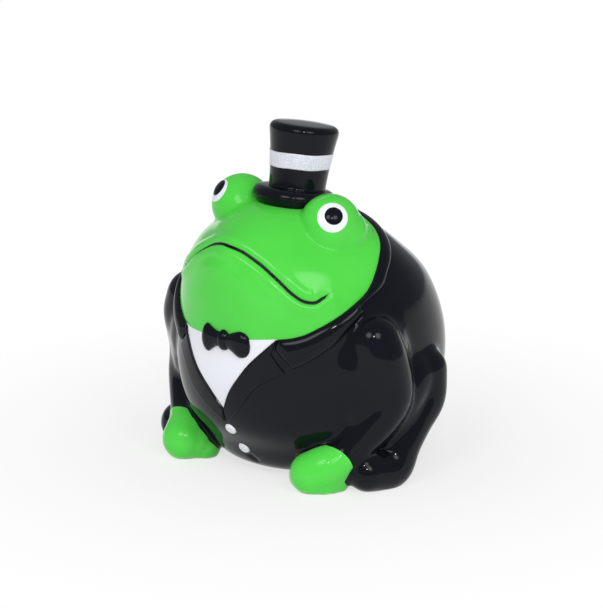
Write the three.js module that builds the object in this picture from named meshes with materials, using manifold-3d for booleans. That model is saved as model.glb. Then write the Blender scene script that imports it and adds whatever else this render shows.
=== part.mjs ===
// Squat frog in evening dress: a hollow glazed casting with its small formed pieces set on it.
// Millimetres, +Z up. The frog faces -Y, its left side is +X, and it stands on Z = 0.
// The finished group is moved so that its origin is under the middle of its footprint.
import * as THREE from "three";
import { mergeVertices } from "three/addons/utils/BufferGeometryUtils.js";
import Module from "manifold-3d";

const wasm = await Module();
wasm.setup();

// Clearances and thicknesses shared by all pieces.
const slipJoint = 0.3;
const castingWall = 4;
const panelSeat = 1.5;
const drainHoleRadius = 6;
const drainHoleY = 6;

// The coat is formed in three parts: a base up to baseTop, and a front and a back that meet at seamY.
const baseTop = 7;
const seamY = 7;

// Body casting: front, side and back profiles with the same number of points from the ground up, each
// row of them one ring: front and back as [y, z], side as [x, y, z]. planPower is the exponent of each
// ring's plan, 2 for an ellipse.
const frontProfile = [
  [-21, 0], [-32.5, 4.8], [-39, 14.5], [-46.5, 25], [-50.5, 42], [-50.3, 62],
  [-52, 84], [-51.5, 96], [-48.3, 104.3], [-38, 110.5], [-24, 115], [-12, 116.5],
];
const sideProfile = [
  [25, 6, 0], [37, 6.5, 4.8], [46.5, 7, 14.5], [52.5, 7.5, 27], [55.5, 8, 45], [55, 8, 62],
  [51, 6, 82], [44.5, 2, 96], [34.5, 0, 105], [24, -4, 111], [13, -9, 115], [0, -12, 116.5],
];
const backProfile = [
  [31, 0], [43, 5], [53, 15], [59.5, 27], [62.5, 45], [61, 62],
  [51, 82], [35.5, 96], [24, 105], [14, 110.5], [2, 114.5], [-12, 116.5],
];
const planPower = [2.1, 2.15, 2.15, 2.15, 2.15, 2.1, 2, 1.78, 1.68, 1.85, 2, 2];
const castingSteps = { around: 44, up: 22 };
const cavitySteps = { around: 20, up: 9 };
const moundSides = { outside: 24, inside: 12 };

// Neck: the line where the green head meets the coat, and the lower edge of the collar under it,
// both seen from the side as [y, z]. Both lines lean: they rise towards the frog's left.
const neckLine = [
  [-64, 60], [-50.6, 65.4], [-43.5, 67.6], [-33.8, 72.4], [-22.3, 78.6], [-12.9, 84.4],
  [-4.8, 92.4], [-0.6, 96.3], [7.1, 101.6], [17, 108], [34, 118],
];
const collarLine = [
  [-64, 56], [-35, 69], [-22, 75.6], [-15.3, 80], [-5.2, 84.4],
  [0, 89.5], [6.9, 95.1], [17.7, 102], [34, 112],
];
const neckLean = 0.035;
const collarProud = 1.4;

// Shirt, lapel and collar outlines on the chest, as [x, z] seen from the front. The two sides differ a
// little, as they do on a piece finished by hand.
const shirtLeftEdge = [[26, 69.5], [18.4, 61.7], [12.3, 55.3], [7.1, 48.3], [2.3, 41.1], [-1.2, 33.4]];
const shirtRightEdge = [[-25.6, 67], [-24.2, 62], [-20.9, 55.6], [-16.1, 49.1], [-8.2, 41.3], [-1.2, 33.4]];
const leftLapelEdge = [[-0.6, 26], [7.5, 34.4], [14.8, 43.9], [21.3, 49.2], [27.6, 53]];
const leftLapelNotch = [[23.4, 61], [28, 71]];
const rightLapelEdge = [[-1.8, 26], [-5.7, 28.4], [-12.3, 32.4], [-20, 38.6], [-25.2, 46.5], [-30.6, 53.4]];
const rightLapelNotch = [[-26, 60.4], [-29, 69]];
const collarLeaf = [
  [23.9, 62.6], [30.6, 54.9], [38.9, 63.3], [45.2, 71.3], [47.6, 74.6],
  [48.2, 78], [47.4, 83], [40, 92], [22, 92],
];
const lapelProud = 0.9;
const shirtTop = 84;

// Mouth: the left half of the groove as [x, z] seen from the front, mirrored for the right half.
const mouthLine = [
  [0, 104.4], [6.6, 103.2], [17, 98], [23.7, 92.5], [29.7, 86.8], [33.4, 84], [36.6, 83.6], [39.4, 87],
];
const mouthGrooveRadius = 0.9;

// Coat opening below the lower button: a short slit, as [x, z] seen from the front.
const hemSlit = [[0.9, 9.9], [2.7, 8.2], [4.6, 6.4]];
const hemSlitRadius = 0.6;

// Eyes: the left eye's mound, a ball drawn down below its middle; and the way each eye looks, turned
// out from straight ahead and up from level, in degrees.
const eyeMound = { x: 24.2, y: -10.2, z: 109.3, radius: 13.1, lowerStretch: 1.4 };
const eyeWhiteRadius = 6.6;
const eyeWhiteProud = 0.5;
const eyeSeat = 1.2;
const pupilRadius = 3.9;
const pupilSeat = 0.5;
const pupilProud = 1.1;
const leftGaze = { out: 45, up: 31 };
const rightGaze = { out: 28, up: 32 };

// Bow tie on the neck line, and the two coat buttons below the shirt, as [x, z].
const bowCentre = [-0.6, 64.4];
const knotSize = { width: 5.6, height: 8.6, depth: 7 };
const wing = { left: 10.4, right: 8.8, innerHeight: 6.4, outerHeight: 11.6, depth: 3.4, bevel: 1.5, sink: 2 };
const upperButtonAt = [-0.8, 22.9];
const lowerButtonAt = [0.2, 12.7];
const buttonRadius = 2.7;
const buttonHeight = 1.3;

// Limbs on the frog's left, as points of the spine: the bearing round the body in degrees from
// straight ahead, the height, how far out of the skin the spine runs, and the limb's radius there.
// The palm is a ball that fills the hand out towards the body.
const armSpine = [
  { bearing: 69, z: 64.5, out: -1.4, radius: 11.6 },
  { bearing: 71, z: 57, out: -0.7, radius: 12.4 },
  { bearing: 74, z: 48, out: -0.9, radius: 12.2 },
  { bearing: 75, z: 39.5, out: -0.1, radius: 11.4 },
  { bearing: 70, z: 30, out: 1.1, radius: 10 },
  { bearing: 63, z: 22, out: 2.3, radius: 8.9 },
  { bearing: 56, z: 15.5, out: 5, radius: 8.3 },
  { bearing: 48, z: 10.2, out: 9.4, radius: 9.5 },
  { bearing: 40, z: 8, out: 13.9, radius: 9.2 },
];
const palm = { bearing: 41, z: 6, out: 5.8, radius: 6.4 };
const legSpine = [
  { bearing: 103, z: 45.2, out: -1.7, radius: 9.2 },
  { bearing: 101, z: 33, out: 0.6, radius: 9 },
  { bearing: 93, z: 24.5, out: 2.4, radius: 8.5 },
  { bearing: 84, z: 16, out: 6.8, radius: 8.5 },
  { bearing: 79, z: 7.8, out: 15.2, radius: 9.8 },
  { bearing: 65, z: 8, out: 17, radius: 8.6 },
];
const lowestSkin = 3;
const cuffLine = [[-70, 26], [-30, 22.4], [-22.4, 7.4], [-22, -20], [-70, -20]];
const ankleLine = [[-70, 24], [-12, 18.6], [14, 12.4], [14, -20], [-70, -20]];
const turnedSides = 32;
const smallSides = 24;
const capSteps = 3;
const limbSides = 14;
const limbSteps = 12;
const domeRings = 3;

// Further out than any point of the figure: where sight lines start and cutters end.
const reach = 160;

// Top hat: leans back, crown wider at its top, brim drooping to the head, silver band round it. Its seat
// is given by y and by how far the top of the brim rises above the head there.
const hatSeat = { y: -2.9, rise: 4.4 };
const hatLeanBack = 11.2;
const crown = { height: 27, baseRadius: 12, topRadius: 15.2, edge: 1.4 };
const brim = { radius: 18, thickness: 4.2, seatRadius: 14.6, seatDepth: 11, forward: 1.5 };
const brimEdgeSteps = 4;
const band = { low: 8.8, high: 15.2, proud: 0.35, seat: 0.9 };

// Turns a closed geometry into a solid: vertices merged, empty triangles dropped.
function solidOf(geometry) {
  const bare = new THREE.BufferGeometry();
  bare.setAttribute("position", geometry.getAttribute("position"));
  bare.setIndex(geometry.index);
  const merged = mergeVertices(bare, 1e-4);
  const corners = merged.index.array;
  const triVerts = [];
  for (let i = 0; i < corners.length; i += 3) {
    const [a, b, c] = corners.slice(i, i + 3);
    if (a !== b && b !== c && c !== a) triVerts.push(a, b, c);
  }
  return new wasm.Manifold(
    new wasm.Mesh({
      numProp: 3,
      vertProperties: new Float32Array(merged.attributes.position.array),
      triVerts: new Uint32Array(triVerts),
    }),
  );
}

function geometryOf(solid) {
  const { vertProperties, triVerts } = solid.getMesh();
  const geometry = new THREE.BufferGeometry();
  geometry.setAttribute("position", new THREE.BufferAttribute(vertProperties, 3));
  geometry.setIndex(new THREE.BufferAttribute(triVerts, 1));
  return geometry;
}

// The same solid carried through a matrix; a mirroring matrix also turns the faces round.
function moved(solid, matrix) {
  const geometry = geometryOf(solid).applyMatrix4(matrix);
  if (matrix.determinant() < 0) {
    const index = geometry.index.array;
    for (let i = 0; i < index.length; i += 3) [index[i + 1], index[i + 2]] = [index[i + 2], index[i + 1]];
  }
  return solidOf(geometry);
}

const mirrorX = new THREE.Matrix4().makeScale(-1, 1, 1);
const join = (solids) => solids.reduce((sum, next) => sum.add(next));

// A grid of rings joined into one closed skin; the first and last rings are closed to a point each.
function loft(ringsOfPoints, startPoint, endPoint) {
  const count = ringsOfPoints[0].length;
  const points = [...ringsOfPoints.flat(), startPoint, endPoint];
  const start = points.length - 2;
  const end = points.length - 1;
  const last = (ringsOfPoints.length - 1) * count;
  const faces = [];
  for (let i = 0; i < count; i++) {
    const next = (i + 1) % count;
    faces.push(start, next, i, end, last + i, last + next);
    for (let row = 0; row < last; row += count) {
      faces.push(row + i, row + next, row + count + next);
      faces.push(row + i, row + count + next, row + count + i);
    }
  }
  const geometry = new THREE.BufferGeometry().setFromPoints(points);
  geometry.setIndex(faces);
  return geometry;
}

const smooth = (points) => new THREE.CatmullRomCurve3(points, false, "centripetal");
const bodyFront = smooth(frontProfile.map((point) => new THREE.Vector3(0, ...point)));
const bodySide = smooth(sideProfile.map((point) => new THREE.Vector3(...point)));
const bodyBack = smooth(backProfile.map((point) => new THREE.Vector3(0, ...point)));
const bodyPower = smooth(planPower.map((power, i) => new THREE.Vector3(power, i, 0)));

// A point of the body's skin: rise runs from 0 at the foot to 1 at the crown, angle goes round it.
function bodyPoint(rise, angle) {
  const power = 2 / bodyPower.getPoint(rise).x;
  const across = Math.sign(Math.cos(angle)) * Math.abs(Math.cos(angle)) ** power;
  const along = Math.abs(Math.sin(angle)) ** power;
  const side = bodySide.getPoint(rise);
  const end = (Math.sin(angle) < 0 ? bodyFront : bodyBack).getPoint(rise);
  return new THREE.Vector3(
    side.x * across,
    side.y + (end.y - side.y) * along,
    side.z + (end.z - side.z) * along ** 2,
  );
}

// The body's skin, moved out along its normals by offset (inwards where it is negative).
function bodySkin(offset, { around, up } = castingSteps) {
  const levels = Array.from({ length: up }, (_, row) =>
    Array.from({ length: around }, (_, i) => bodyPoint(row / up, (i / around) * 2 * Math.PI)),
  );
  const geometry = loft(levels, new THREE.Vector3(0, sideProfile[0][1], 0), bodyPoint(1, 0));
  geometry.computeVertexNormals();
  const position = geometry.getAttribute("position");
  const normal = geometry.getAttribute("normal");
  for (let i = 0; i < position.count; i++) {
    position.setXYZ(
      i,
      position.getX(i) + normal.getX(i) * offset,
      position.getY(i) + normal.getY(i) * offset,
      position.getZ(i) + normal.getZ(i) * offset,
    );
  }
  return geometry;
}

const grown = (offset) => solidOf(bodySkin(offset));
const bareSkin = new THREE.Mesh(bodySkin(0), new THREE.MeshStandardMaterial());

// Where a straight line from outside first meets the skin, with the skin's normal there.
function meet(origin, direction) {
  const [hit] = new THREE.Raycaster(origin, direction).intersectObject(bareSkin);
  return { point: hit.point, normal: hit.face.normal };
}

const onChest = ([x, z]) => meet(new THREE.Vector3(x, -reach, z), new THREE.Vector3(0, 1, 0));

// A point out from the skin on a bearing; below lowestSkin the skin's own lowest ring is used.
function offSkin({ bearing, z, out }) {
  const angle = THREE.MathUtils.degToRad(bearing);
  const away = new THREE.Vector3(Math.sin(angle), -Math.cos(angle), 0);
  const middle = new THREE.Vector3(0, drainHoleY, Math.max(z, lowestSkin));
  const { point } = meet(middle.clone().addScaledVector(away, reach), away.clone().negate());
  return point.addScaledVector(away, out).setZ(z);
}

// Blocks used as cutters: an outline seen from the front, or one seen from the side.
function shapeOf(outline) {
  return new THREE.Shape(outline.map(([a, b]) => new THREE.Vector2(a, b)));
}

function blockFromFront(outline) {
  const geometry = new THREE.ExtrudeGeometry(shapeOf(outline), { depth: reach, bevelEnabled: false });
  return solidOf(geometry.rotateX(Math.PI / 2));
}

function blockFromSide(outline) {
  const geometry = new THREE.ExtrudeGeometry(shapeOf(outline), { depth: 2 * reach, bevelEnabled: false });
  const sideOn = new THREE.Matrix4().makeBasis(
    new THREE.Vector3(0, 1, 0),
    new THREE.Vector3(0, 0, 1),
    new THREE.Vector3(1, 0, 0),
  );
  return solidOf(geometry.translate(0, 0, -reach).applyMatrix4(sideOn));
}

const spline = (points, steps) =>
  new THREE.SplineCurve(points.map(([a, b]) => new THREE.Vector2(a, b)))
    .getPoints(steps)
    .map(({ x, y }) => [x, y]);

// An outline moved outwards (or inwards, where by is negative) by the same distance all round.
function widened(outline, by) {
  const turn = THREE.ShapeUtils.area(outline.map(([x, y]) => ({ x, y }))) > 0 ? 1 : -1;
  return outline.map((here, i) => {
    const before = outline.at(i - 1);
    const after = outline[(i + 1) % outline.length];
    const edges = [[before, here], [here, after]].map(([from, to]) => {
      const run = new THREE.Vector2(to[0] - from[0], to[1] - from[1]).normalize();
      return new THREE.Vector2(run.y, -run.x).multiplyScalar(turn);
    });
    const out = edges[0].clone().add(edges[1]).normalize();
    const mitre = Math.min(by / Math.max(out.dot(edges[0]), 0.35), 3 * Math.abs(by));
    return [here[0] + out.x * mitre, here[1] + out.y * mitre];
  });
}

// Everything above a line seen from the side, the line lowered by drop and leaning to the left.
function above(line, drop = 0) {
  const edge = spline(line, 24).map(([y, z]) => [y, z - drop]);
  const block = blockFromSide([...edge, [reach, 2 * reach], [-reach, 2 * reach], [-reach, edge[0][1]]]);
  const lean = new THREE.Matrix4().set(1, 0, 0, 0, 0, 1, 0, 0, neckLean, 0, 1, 0, 0, 0, 0, 1);
  return moved(block, lean);
}

// A groove cutter: a round tube laid along points of the skin.
function groove(points, radius) {
  const path = new THREE.CatmullRomCurve3(points, false, "centripetal");
  const section = new THREE.Shape().absarc(0, 0, radius, 0, 2 * Math.PI);
  const tube = { extrudePath: path, steps: 2 * points.length, curveSegments: 3, bevelEnabled: false };
  return solidOf(new THREE.ExtrudeGeometry(section, tube));
}

// A limb: rings square to a smooth spine, closed by round ends, fattened all over by extra.
function limb(spine, extra = 0) {
  const path = smooth(spine.map(offSkin));
  const girth = smooth(spine.map(({ radius }, i) => new THREE.Vector3(radius + extra, i, 0)));
  const ringAt = (where, shift, radius) => {
    const along = path.getTangent(where);
    const across = new THREE.Vector3(1, 0, 0).addScaledVector(along, -along.x).normalize();
    const other = along.clone().cross(across);
    const centre = path.getPoint(where).addScaledVector(along, shift);
    return Array.from({ length: limbSides }, (_, i) => {
      const angle = (i / limbSides) * 2 * Math.PI;
      return centre
        .clone()
        .addScaledVector(across, radius * Math.cos(angle))
        .addScaledVector(other, radius * Math.sin(angle));
    });
  };
  const first = girth.getPoint(0).x;
  const last = girth.getPoint(1).x;
  const domeAngles = Array.from({ length: domeRings }, (_, i) => ((i + 1) / (domeRings + 1)) * (Math.PI / 2));
  const levels = domeAngles.map((t) => ringAt(0, -first * Math.cos(t), first * Math.sin(t)));
  for (let i = 0; i <= limbSteps; i++) levels.push(ringAt(i / limbSteps, 0, girth.getPoint(i / limbSteps).x));
  domeAngles
    .toReversed()
    .forEach((t) => levels.push(ringAt(1, last * Math.cos(t), last * Math.sin(t))));
  const start = path.getPoint(0).addScaledVector(path.getTangent(0), -first);
  const end = path.getPoint(1).addScaledVector(path.getTangent(1), last);
  return solidOf(loft(levels, start, end));
}

// A solid turned about local +Z from a profile of [radius, height].
function turned(profile, sides = turnedSides) {
  const points = profile.map(([radius, height]) => new THREE.Vector2(radius, height));
  return solidOf(new THREE.LatheGeometry(points, sides).rotateX(Math.PI / 2));
}

// Finishes: fired coloured glazes and one metallic band.
const finishes = {
  green_glaze: { color: 0x5cd850, roughness: 0.12, metalness: 0 },
  black_glaze: { color: 0x101116, roughness: 0.1, metalness: 0 },
  white_glaze: { color: 0xf0f3fa, roughness: 0.2, metalness: 0 },
  silver_lustre: { color: 0xdfe3ee, roughness: 0.35, metalness: 0.7 },
};

function piece(name, solid, finish, parent) {
  const geometry = geometryOf(solid);
  geometry.computeVertexNormals();
  const mesh = new THREE.Mesh(geometry, new THREE.MeshStandardMaterial(finishes[finish]));
  mesh.name = name;
  parent.add(mesh);
  return mesh;
}

const frog = new THREE.Group();

// Cutters for the chest: the lapels share the shirt's edges.
const shirtLeft = spline(shirtLeftEdge, 12);
const shirtRight = spline(shirtRightEdge, 12);
const mirroredOutline = (outline) => outline.map(([x, z]) => [-x, z]);
const shirtOutline = [
  [shirtRight[0][0], shirtTop],
  ...shirtRight,
  ...shirtLeft.toReversed(),
  [shirtLeft[0][0], shirtTop],
];
const lapelOutline = (inner, notch, outer) => [
  ...inner.toReversed(),
  ...notch.toReversed(),
  ...spline(outer, 10).toReversed(),
];
const leftLapelOutline = lapelOutline(shirtLeft, leftLapelNotch, leftLapelEdge);
const rightLapelOutline = lapelOutline(shirtRight, rightLapelNotch, rightLapelEdge);
const leafOutlines = [collarLeaf, mirroredOutline(collarLeaf)];
const roomFor = (...outlines) => join(outlines.map((outline) => blockFromFront(widened(outline, slipJoint))));
const shirtRoom = roomFor(shirtOutline);
const leftLapelRoom = roomFor(leftLapelOutline);
const lapelRoom = leftLapelRoom.add(roomFor(rightLapelOutline));
const collarArea = above(collarLine)
  .add(join(leafOutlines.map(blockFromFront)))
  .subtract(shirtRoom)
  .subtract(lapelRoom);
const collarRoom = above(collarLine, slipJoint).add(roomFor(...leafOutlines));
const panelRoom = shirtRoom.add(lapelRoom).add(collarRoom);
const belowHead = above(neckLine, slipJoint);

// A layer of the body between two depths, inside an area, below the neck line.
function layer(inner, outer, area) {
  return grown(outer).subtract(grown(inner)).intersect(area).subtract(belowHead);
}

// The eye mounds as solids, fattened all over by extra.
function mounds(extra, sides = moundSides.outside) {
  const ball = new THREE.SphereGeometry(eyeMound.radius + extra, sides, sides / 2).rotateX(Math.PI / 2);
  const position = ball.getAttribute("position");
  for (let i = 0; i < position.count; i++) {
    if (position.getZ(i) < 0) position.setZ(i, position.getZ(i) * eyeMound.lowerStretch);
  }
  const left = solidOf(ball.translate(eyeMound.x, eyeMound.y, eyeMound.z));
  return left.add(moved(left, mirrorX));
}

// Castings: coat and head are shells of one wall, open to each other at the neck.
const cavity = solidOf(bodySkin(-castingWall, cavitySteps));
const drain = new THREE.CylinderGeometry(drainHoleRadius, drainHoleRadius, 4 * castingWall, 24);
const drainHole = solidOf(drain.rotateX(Math.PI / 2).translate(0, drainHoleY, 0));
const coat = grown(0)
  .subtract(belowHead)
  .subtract(panelRoom.subtract(grown(-panelSeat - slipJoint)))
  .subtract(cavity)
  .subtract(drainHole)
  .subtract(groove(hemSlit.map((at) => onChest(at).point), hemSlitRadius));
const seam = slipJoint / 2;
const coatParts = {
  coat_base: [[-reach, -reach], [reach, -reach], [reach, baseTop - seam], [-reach, baseTop - seam]],
  coat_front: [[-reach, baseTop + seam], [seamY - seam, baseTop + seam], [seamY - seam, reach], [-reach, reach]],
  coat_back: [[seamY + seam, baseTop + seam], [reach, baseTop + seam], [reach, reach], [seamY + seam, reach]],
};
for (const [name, area] of Object.entries(coatParts)) {
  piece(name, coat.intersect(blockFromSide(area)), "black_glaze", frog);
}

// Chest panels, let into the coat.
const leftLapelArea = blockFromFront(leftLapelOutline).subtract(shirtRoom);
const rightLapelArea = blockFromFront(rightLapelOutline).subtract(shirtRoom).subtract(leftLapelRoom);
piece("shirt_front", layer(-panelSeat, 0, blockFromFront(shirtOutline)), "white_glaze", frog);
piece("left_lapel", layer(-panelSeat, lapelProud, leftLapelArea), "black_glaze", frog);
piece("right_lapel", layer(-panelSeat, lapelProud, rightLapelArea), "black_glaze", frog);
piece("collar", layer(-panelSeat, collarProud, collarArea), "black_glaze", frog);

// Eyes: each white is a cap let into its mound, with a pupil let into the white. Depths and heights
// are measured from the mound's skin.
function cap(rimRadius, floor, roof) {
  const rim = Math.asin(rimRadius / eyeMound.radius);
  const arc = (radius) =>
    Array.from({ length: capSteps + 1 }, (_, i) => {
      const angle = (i / capSteps) * rim;
      return [radius * Math.sin(angle), radius * Math.cos(angle)];
    });
  const profile = [...arc(eyeMound.radius + floor), ...arc(eyeMound.radius + roof).toReversed()];
  return turned(profile, smallSides);
}

function eyeFrame(side, { out, up }) {
  const turn = THREE.MathUtils.degToRad(out) * side;
  const lift = THREE.MathUtils.degToRad(up);
  const ahead = Math.cos(lift);
  const gaze = new THREE.Vector3(Math.sin(turn) * ahead, -Math.cos(turn) * ahead, Math.sin(lift));
  const group = new THREE.Group();
  group.position.set(side * eyeMound.x, eyeMound.y, eyeMound.z);
  group.quaternion.setFromUnitVectors(new THREE.Vector3(0, 0, 1), gaze);
  group.updateMatrix();
  frog.add(group);
  return group;
}

const whiteSocket = cap(eyeWhiteRadius + slipJoint, -eyeSeat - slipJoint, eyeSeat);
const pupilSocket = cap(pupilRadius + slipJoint, -pupilSeat - slipJoint, 2 * pupilProud);
const eyeWhite = cap(eyeWhiteRadius, -eyeSeat, eyeWhiteProud).subtract(pupilSocket);
const pupil = cap(pupilRadius, -pupilSeat, pupilProud);
const mouthPoints = [...mirroredOutline(mouthLine.slice(1)).toReversed(), ...mouthLine];
let head = grown(0)
  .add(mounds(0))
  .intersect(above(neckLine))
  .subtract(cavity.add(mounds(-castingWall, moundSides.inside)))
  .subtract(groove(mouthPoints.map((at) => onChest(at).point), mouthGrooveRadius));
for (const [name, side, gaze] of [["left", 1, leftGaze], ["right", -1, rightGaze]]) {
  const eye = eyeFrame(side, gaze);
  head = head.subtract(moved(whiteSocket, eye.matrix));
  piece(name + "_eye_white", eyeWhite, "white_glaze", eye);
  piece(name + "_pupil", pupil, "black_glaze", eye);
}
piece("head", head, "green_glaze", frog);

// Limbs, modelled on the left and mirrored. Sleeve and hand share one spine, as do leg and shoe.
const ground = blockFromSide([[-reach, 0], [reach, 0], [reach, -reach], [-reach, -reach]]);
const bodyRoom = grown(slipJoint).add(collarRoom.intersect(grown(collarProud + slipJoint))).add(ground);
const cuff = blockFromSide(cuffLine);
const cuffRoom = blockFromSide(widened(cuffLine, slipJoint));
const ankle = blockFromSide(ankleLine);
const ankleRoom = blockFromSide(widened(ankleLine, slipJoint));
const palmBall = new THREE.SphereGeometry(palm.radius, limbSides, limbSides / 2);
const arm = limb(armSpine);
const palmSolid = solidOf(palmBall.translate(...offSkin(palm)));
const leg = limb(legSpine).subtract(limb(armSpine, slipJoint));
for (const [name, side] of [["left", new THREE.Matrix4()], ["right", mirrorX]]) {
  const seat = (solid) => moved(solid, side).subtract(bodyRoom);
  piece(name + "_sleeve", seat(arm.subtract(cuffRoom)), "black_glaze", frog);
  piece(name + "_hand", seat(arm.add(palmSolid).intersect(cuff)), "green_glaze", frog);
  piece(name + "_leg", seat(leg.subtract(ankleRoom)), "black_glaze", frog);
  piece(name + "_shoe", seat(leg.intersect(ankle)), "black_glaze", frog);
}

// A frame on the chest: its origin on the skin at [x, z], its +Z along the skin's normal there.
function chestFrame(at) {
  const { point, normal } = onChest(at);
  const across = new THREE.Vector3(0, 0, 1).cross(normal).normalize();
  const upward = normal.clone().cross(across);
  const group = new THREE.Group();
  group.position.copy(point);
  group.setRotationFromMatrix(new THREE.Matrix4().makeBasis(across, upward, normal));
  group.updateMatrix();
  frog.add(group);
  return group;
}

// A solid made in a frame, cut so that it sits on the body.
function seated(solid, group) {
  return solid.subtract(moved(grown(slipJoint), group.matrix.clone().invert()));
}

// Bow tie: two puffed wings and the knot between them.
function wingSolid(side, length) {
  const { innerHeight, outerHeight, depth, bevel } = wing;
  const inner = innerHeight / 2 - bevel;
  const outer = outerHeight / 2 - bevel;
  const end = length - 2 * bevel;
  const shape = new THREE.Shape();
  shape.moveTo(bevel, -inner);
  shape.quadraticCurveTo(length / 2, -inner, end, -outer);
  shape.quadraticCurveTo(length - bevel, 0, end, outer);
  shape.quadraticCurveTo(length / 2, inner, bevel, inner);
  shape.closePath();
  const puffed = new THREE.ExtrudeGeometry(shape, {
    depth: depth - bevel,
    bevelThickness: bevel,
    bevelSize: bevel,
    bevelSegments: 4,
    curveSegments: 6,
  });
  const start = knotSize.width / 2 + slipJoint;
  return moved(solidOf(puffed.translate(start, 0, -wing.sink)), new THREE.Matrix4().makeScale(side, 1, 1));
}

const bow = chestFrame(bowCentre);
const { width, height, depth } = knotSize;
const knot = new THREE.SphereGeometry(0.5, smallSides, smallSides / 2).scale(width, height, depth);
piece("bow_tie_knot", seated(solidOf(knot), bow), "black_glaze", bow);
piece("bow_tie_left_wing", seated(wingSolid(1, wing.left), bow), "black_glaze", bow);
piece("bow_tie_right_wing", seated(wingSolid(-1, wing.right), bow), "black_glaze", bow);

// Buttons: low domes.
const buttonDome = [
  [0, -buttonHeight],
  [buttonRadius, -buttonHeight],
  [buttonRadius, buttonHeight * 0.4],
  [buttonRadius * 0.85, buttonHeight * 0.8],
  [buttonRadius * 0.45, buttonHeight],
  [0, buttonHeight * 1.05],
];
for (const [name, at] of [["upper", upperButtonAt], ["lower", lowerButtonAt]]) {
  const group = chestFrame(at);
  piece(name + "_button", seated(turned(buttonDome, smallSides), group), "white_glaze", group);
}

// Top hat in its own leaning frame: the origin is where the crown meets the brim.
const hat = new THREE.Group();
const underHat = meet(new THREE.Vector3(0, hatSeat.y, reach), new THREE.Vector3(0, 0, -1)).point;
hat.position.set(0, hatSeat.y, underHat.z + hatSeat.rise);
hat.rotation.x = THREE.MathUtils.degToRad(-hatLeanBack);
hat.updateMatrix();
frog.add(hat);
const crownTaper = (crown.topRadius - crown.baseRadius) / crown.height;
const crownRadiusAt = (height) => crown.baseRadius + crownTaper * height;
const grooveLow = band.low - slipJoint;
const grooveHigh = band.high + slipJoint;
const crownProfile = [
  [0, slipJoint],
  [crown.baseRadius, slipJoint],
  [crownRadiusAt(grooveLow), grooveLow],
  [crownRadiusAt(grooveLow) - band.seat, grooveLow],
  [crownRadiusAt(grooveHigh) - band.seat, grooveHigh],
  [crownRadiusAt(grooveHigh), grooveHigh],
  [crown.topRadius, crown.height - crown.edge],
  [crown.topRadius - crown.edge * 0.3, crown.height - crown.edge * 0.3],
  [crown.topRadius - crown.edge, crown.height],
  [0, crown.height],
];
const bandInside = slipJoint - band.seat;
const bandProfile = [
  [crownRadiusAt(band.low) + bandInside, band.low],
  [crownRadiusAt(band.low) + band.proud, band.low],
  [crownRadiusAt(band.high) + band.proud, band.high],
  [crownRadiusAt(band.high) + bandInside, band.high],
  [crownRadiusAt(band.low) + bandInside, band.low],
];
const brimEdge = Array.from({ length: brimEdgeSteps + 1 }, (_, i) => {
  const angle = (i / brimEdgeSteps - 0.5) * Math.PI;
  const round = brim.thickness / 2;
  return [brim.radius - round + round * Math.cos(angle), -round + round * Math.sin(angle)];
});
const brimProfile = [[0, -brim.seatDepth], [brim.seatRadius, -brim.seatDepth], ...brimEdge, [0, 0]];
piece("hat_crown", turned(crownProfile), "black_glaze", hat);
piece("hat_band", turned(bandProfile), "silver_lustre", hat);
const headRoom = grown(slipJoint).add(mounds(slipJoint));
const brimDisc = moved(turned(brimProfile), new THREE.Matrix4().makeTranslation(0, -brim.forward, 0));
piece("hat_brim", brimDisc.subtract(moved(headRoom, hat.matrix.clone().invert())), "black_glaze", hat);

// The origin goes under the middle of the footprint.
const box = new THREE.Box3().setFromObject(frog, true);
frog.position.set(-(box.min.x + box.max.x) / 2, -(box.min.y + box.max.y) / 2, -box.min.z);
frog.updateMatrixWorld(true);

export default frog;
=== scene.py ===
"""A glazed ceramic frog in evening dress and top hat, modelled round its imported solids.

The classes hold their sizes in millimetres, in a frame whose Z axis stands in the middle of the body.
Each mesh is moved to the part's own frame, in metres, when its piece is made. The frog faces -Y, its
left side is +X, and it stands on Z = 0.
"""

import logging
import math
from dataclasses import dataclass, field
from enum import Enum
from typing import Callable, Sequence

import bmesh
import bpy
import numpy as np
from mathutils import Matrix, Vector
from mathutils.bvhtree import BVHTree
from mathutils.kdtree import KDTree


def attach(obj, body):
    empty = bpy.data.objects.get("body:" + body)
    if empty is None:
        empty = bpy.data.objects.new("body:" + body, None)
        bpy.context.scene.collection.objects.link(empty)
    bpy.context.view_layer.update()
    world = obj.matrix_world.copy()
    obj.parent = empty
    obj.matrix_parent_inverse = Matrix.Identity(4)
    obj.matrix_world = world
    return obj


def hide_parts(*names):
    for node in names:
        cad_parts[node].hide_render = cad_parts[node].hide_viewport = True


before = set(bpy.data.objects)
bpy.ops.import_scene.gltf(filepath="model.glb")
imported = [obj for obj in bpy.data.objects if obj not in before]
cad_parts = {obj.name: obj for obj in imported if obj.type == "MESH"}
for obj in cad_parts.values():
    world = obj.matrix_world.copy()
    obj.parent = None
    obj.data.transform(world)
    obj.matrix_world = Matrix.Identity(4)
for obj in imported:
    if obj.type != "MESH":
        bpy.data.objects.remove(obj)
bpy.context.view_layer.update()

MM = 0.001
FOOT_SHIFT = -4.284
TINY = 1e-6
MERGE = 1e-5
FRONT = -200.0
EYE_MOUND = (24.2, -10.2, 109.3)
EYE_MOUND_RADIUS = 13.1
log = logging.getLogger("frog")


class Side(Enum):
    """The frog's own left and right, as the sign of X."""

    LEFT = 1
    RIGHT = -1


class Slot(Enum):
    """The record's material slots."""

    GREEN = "green_glaze"
    BLACK = "black_glaze"
    WHITE = "white_glaze"
    SILVER = "silver_lustre"


# Shader writing


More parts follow.
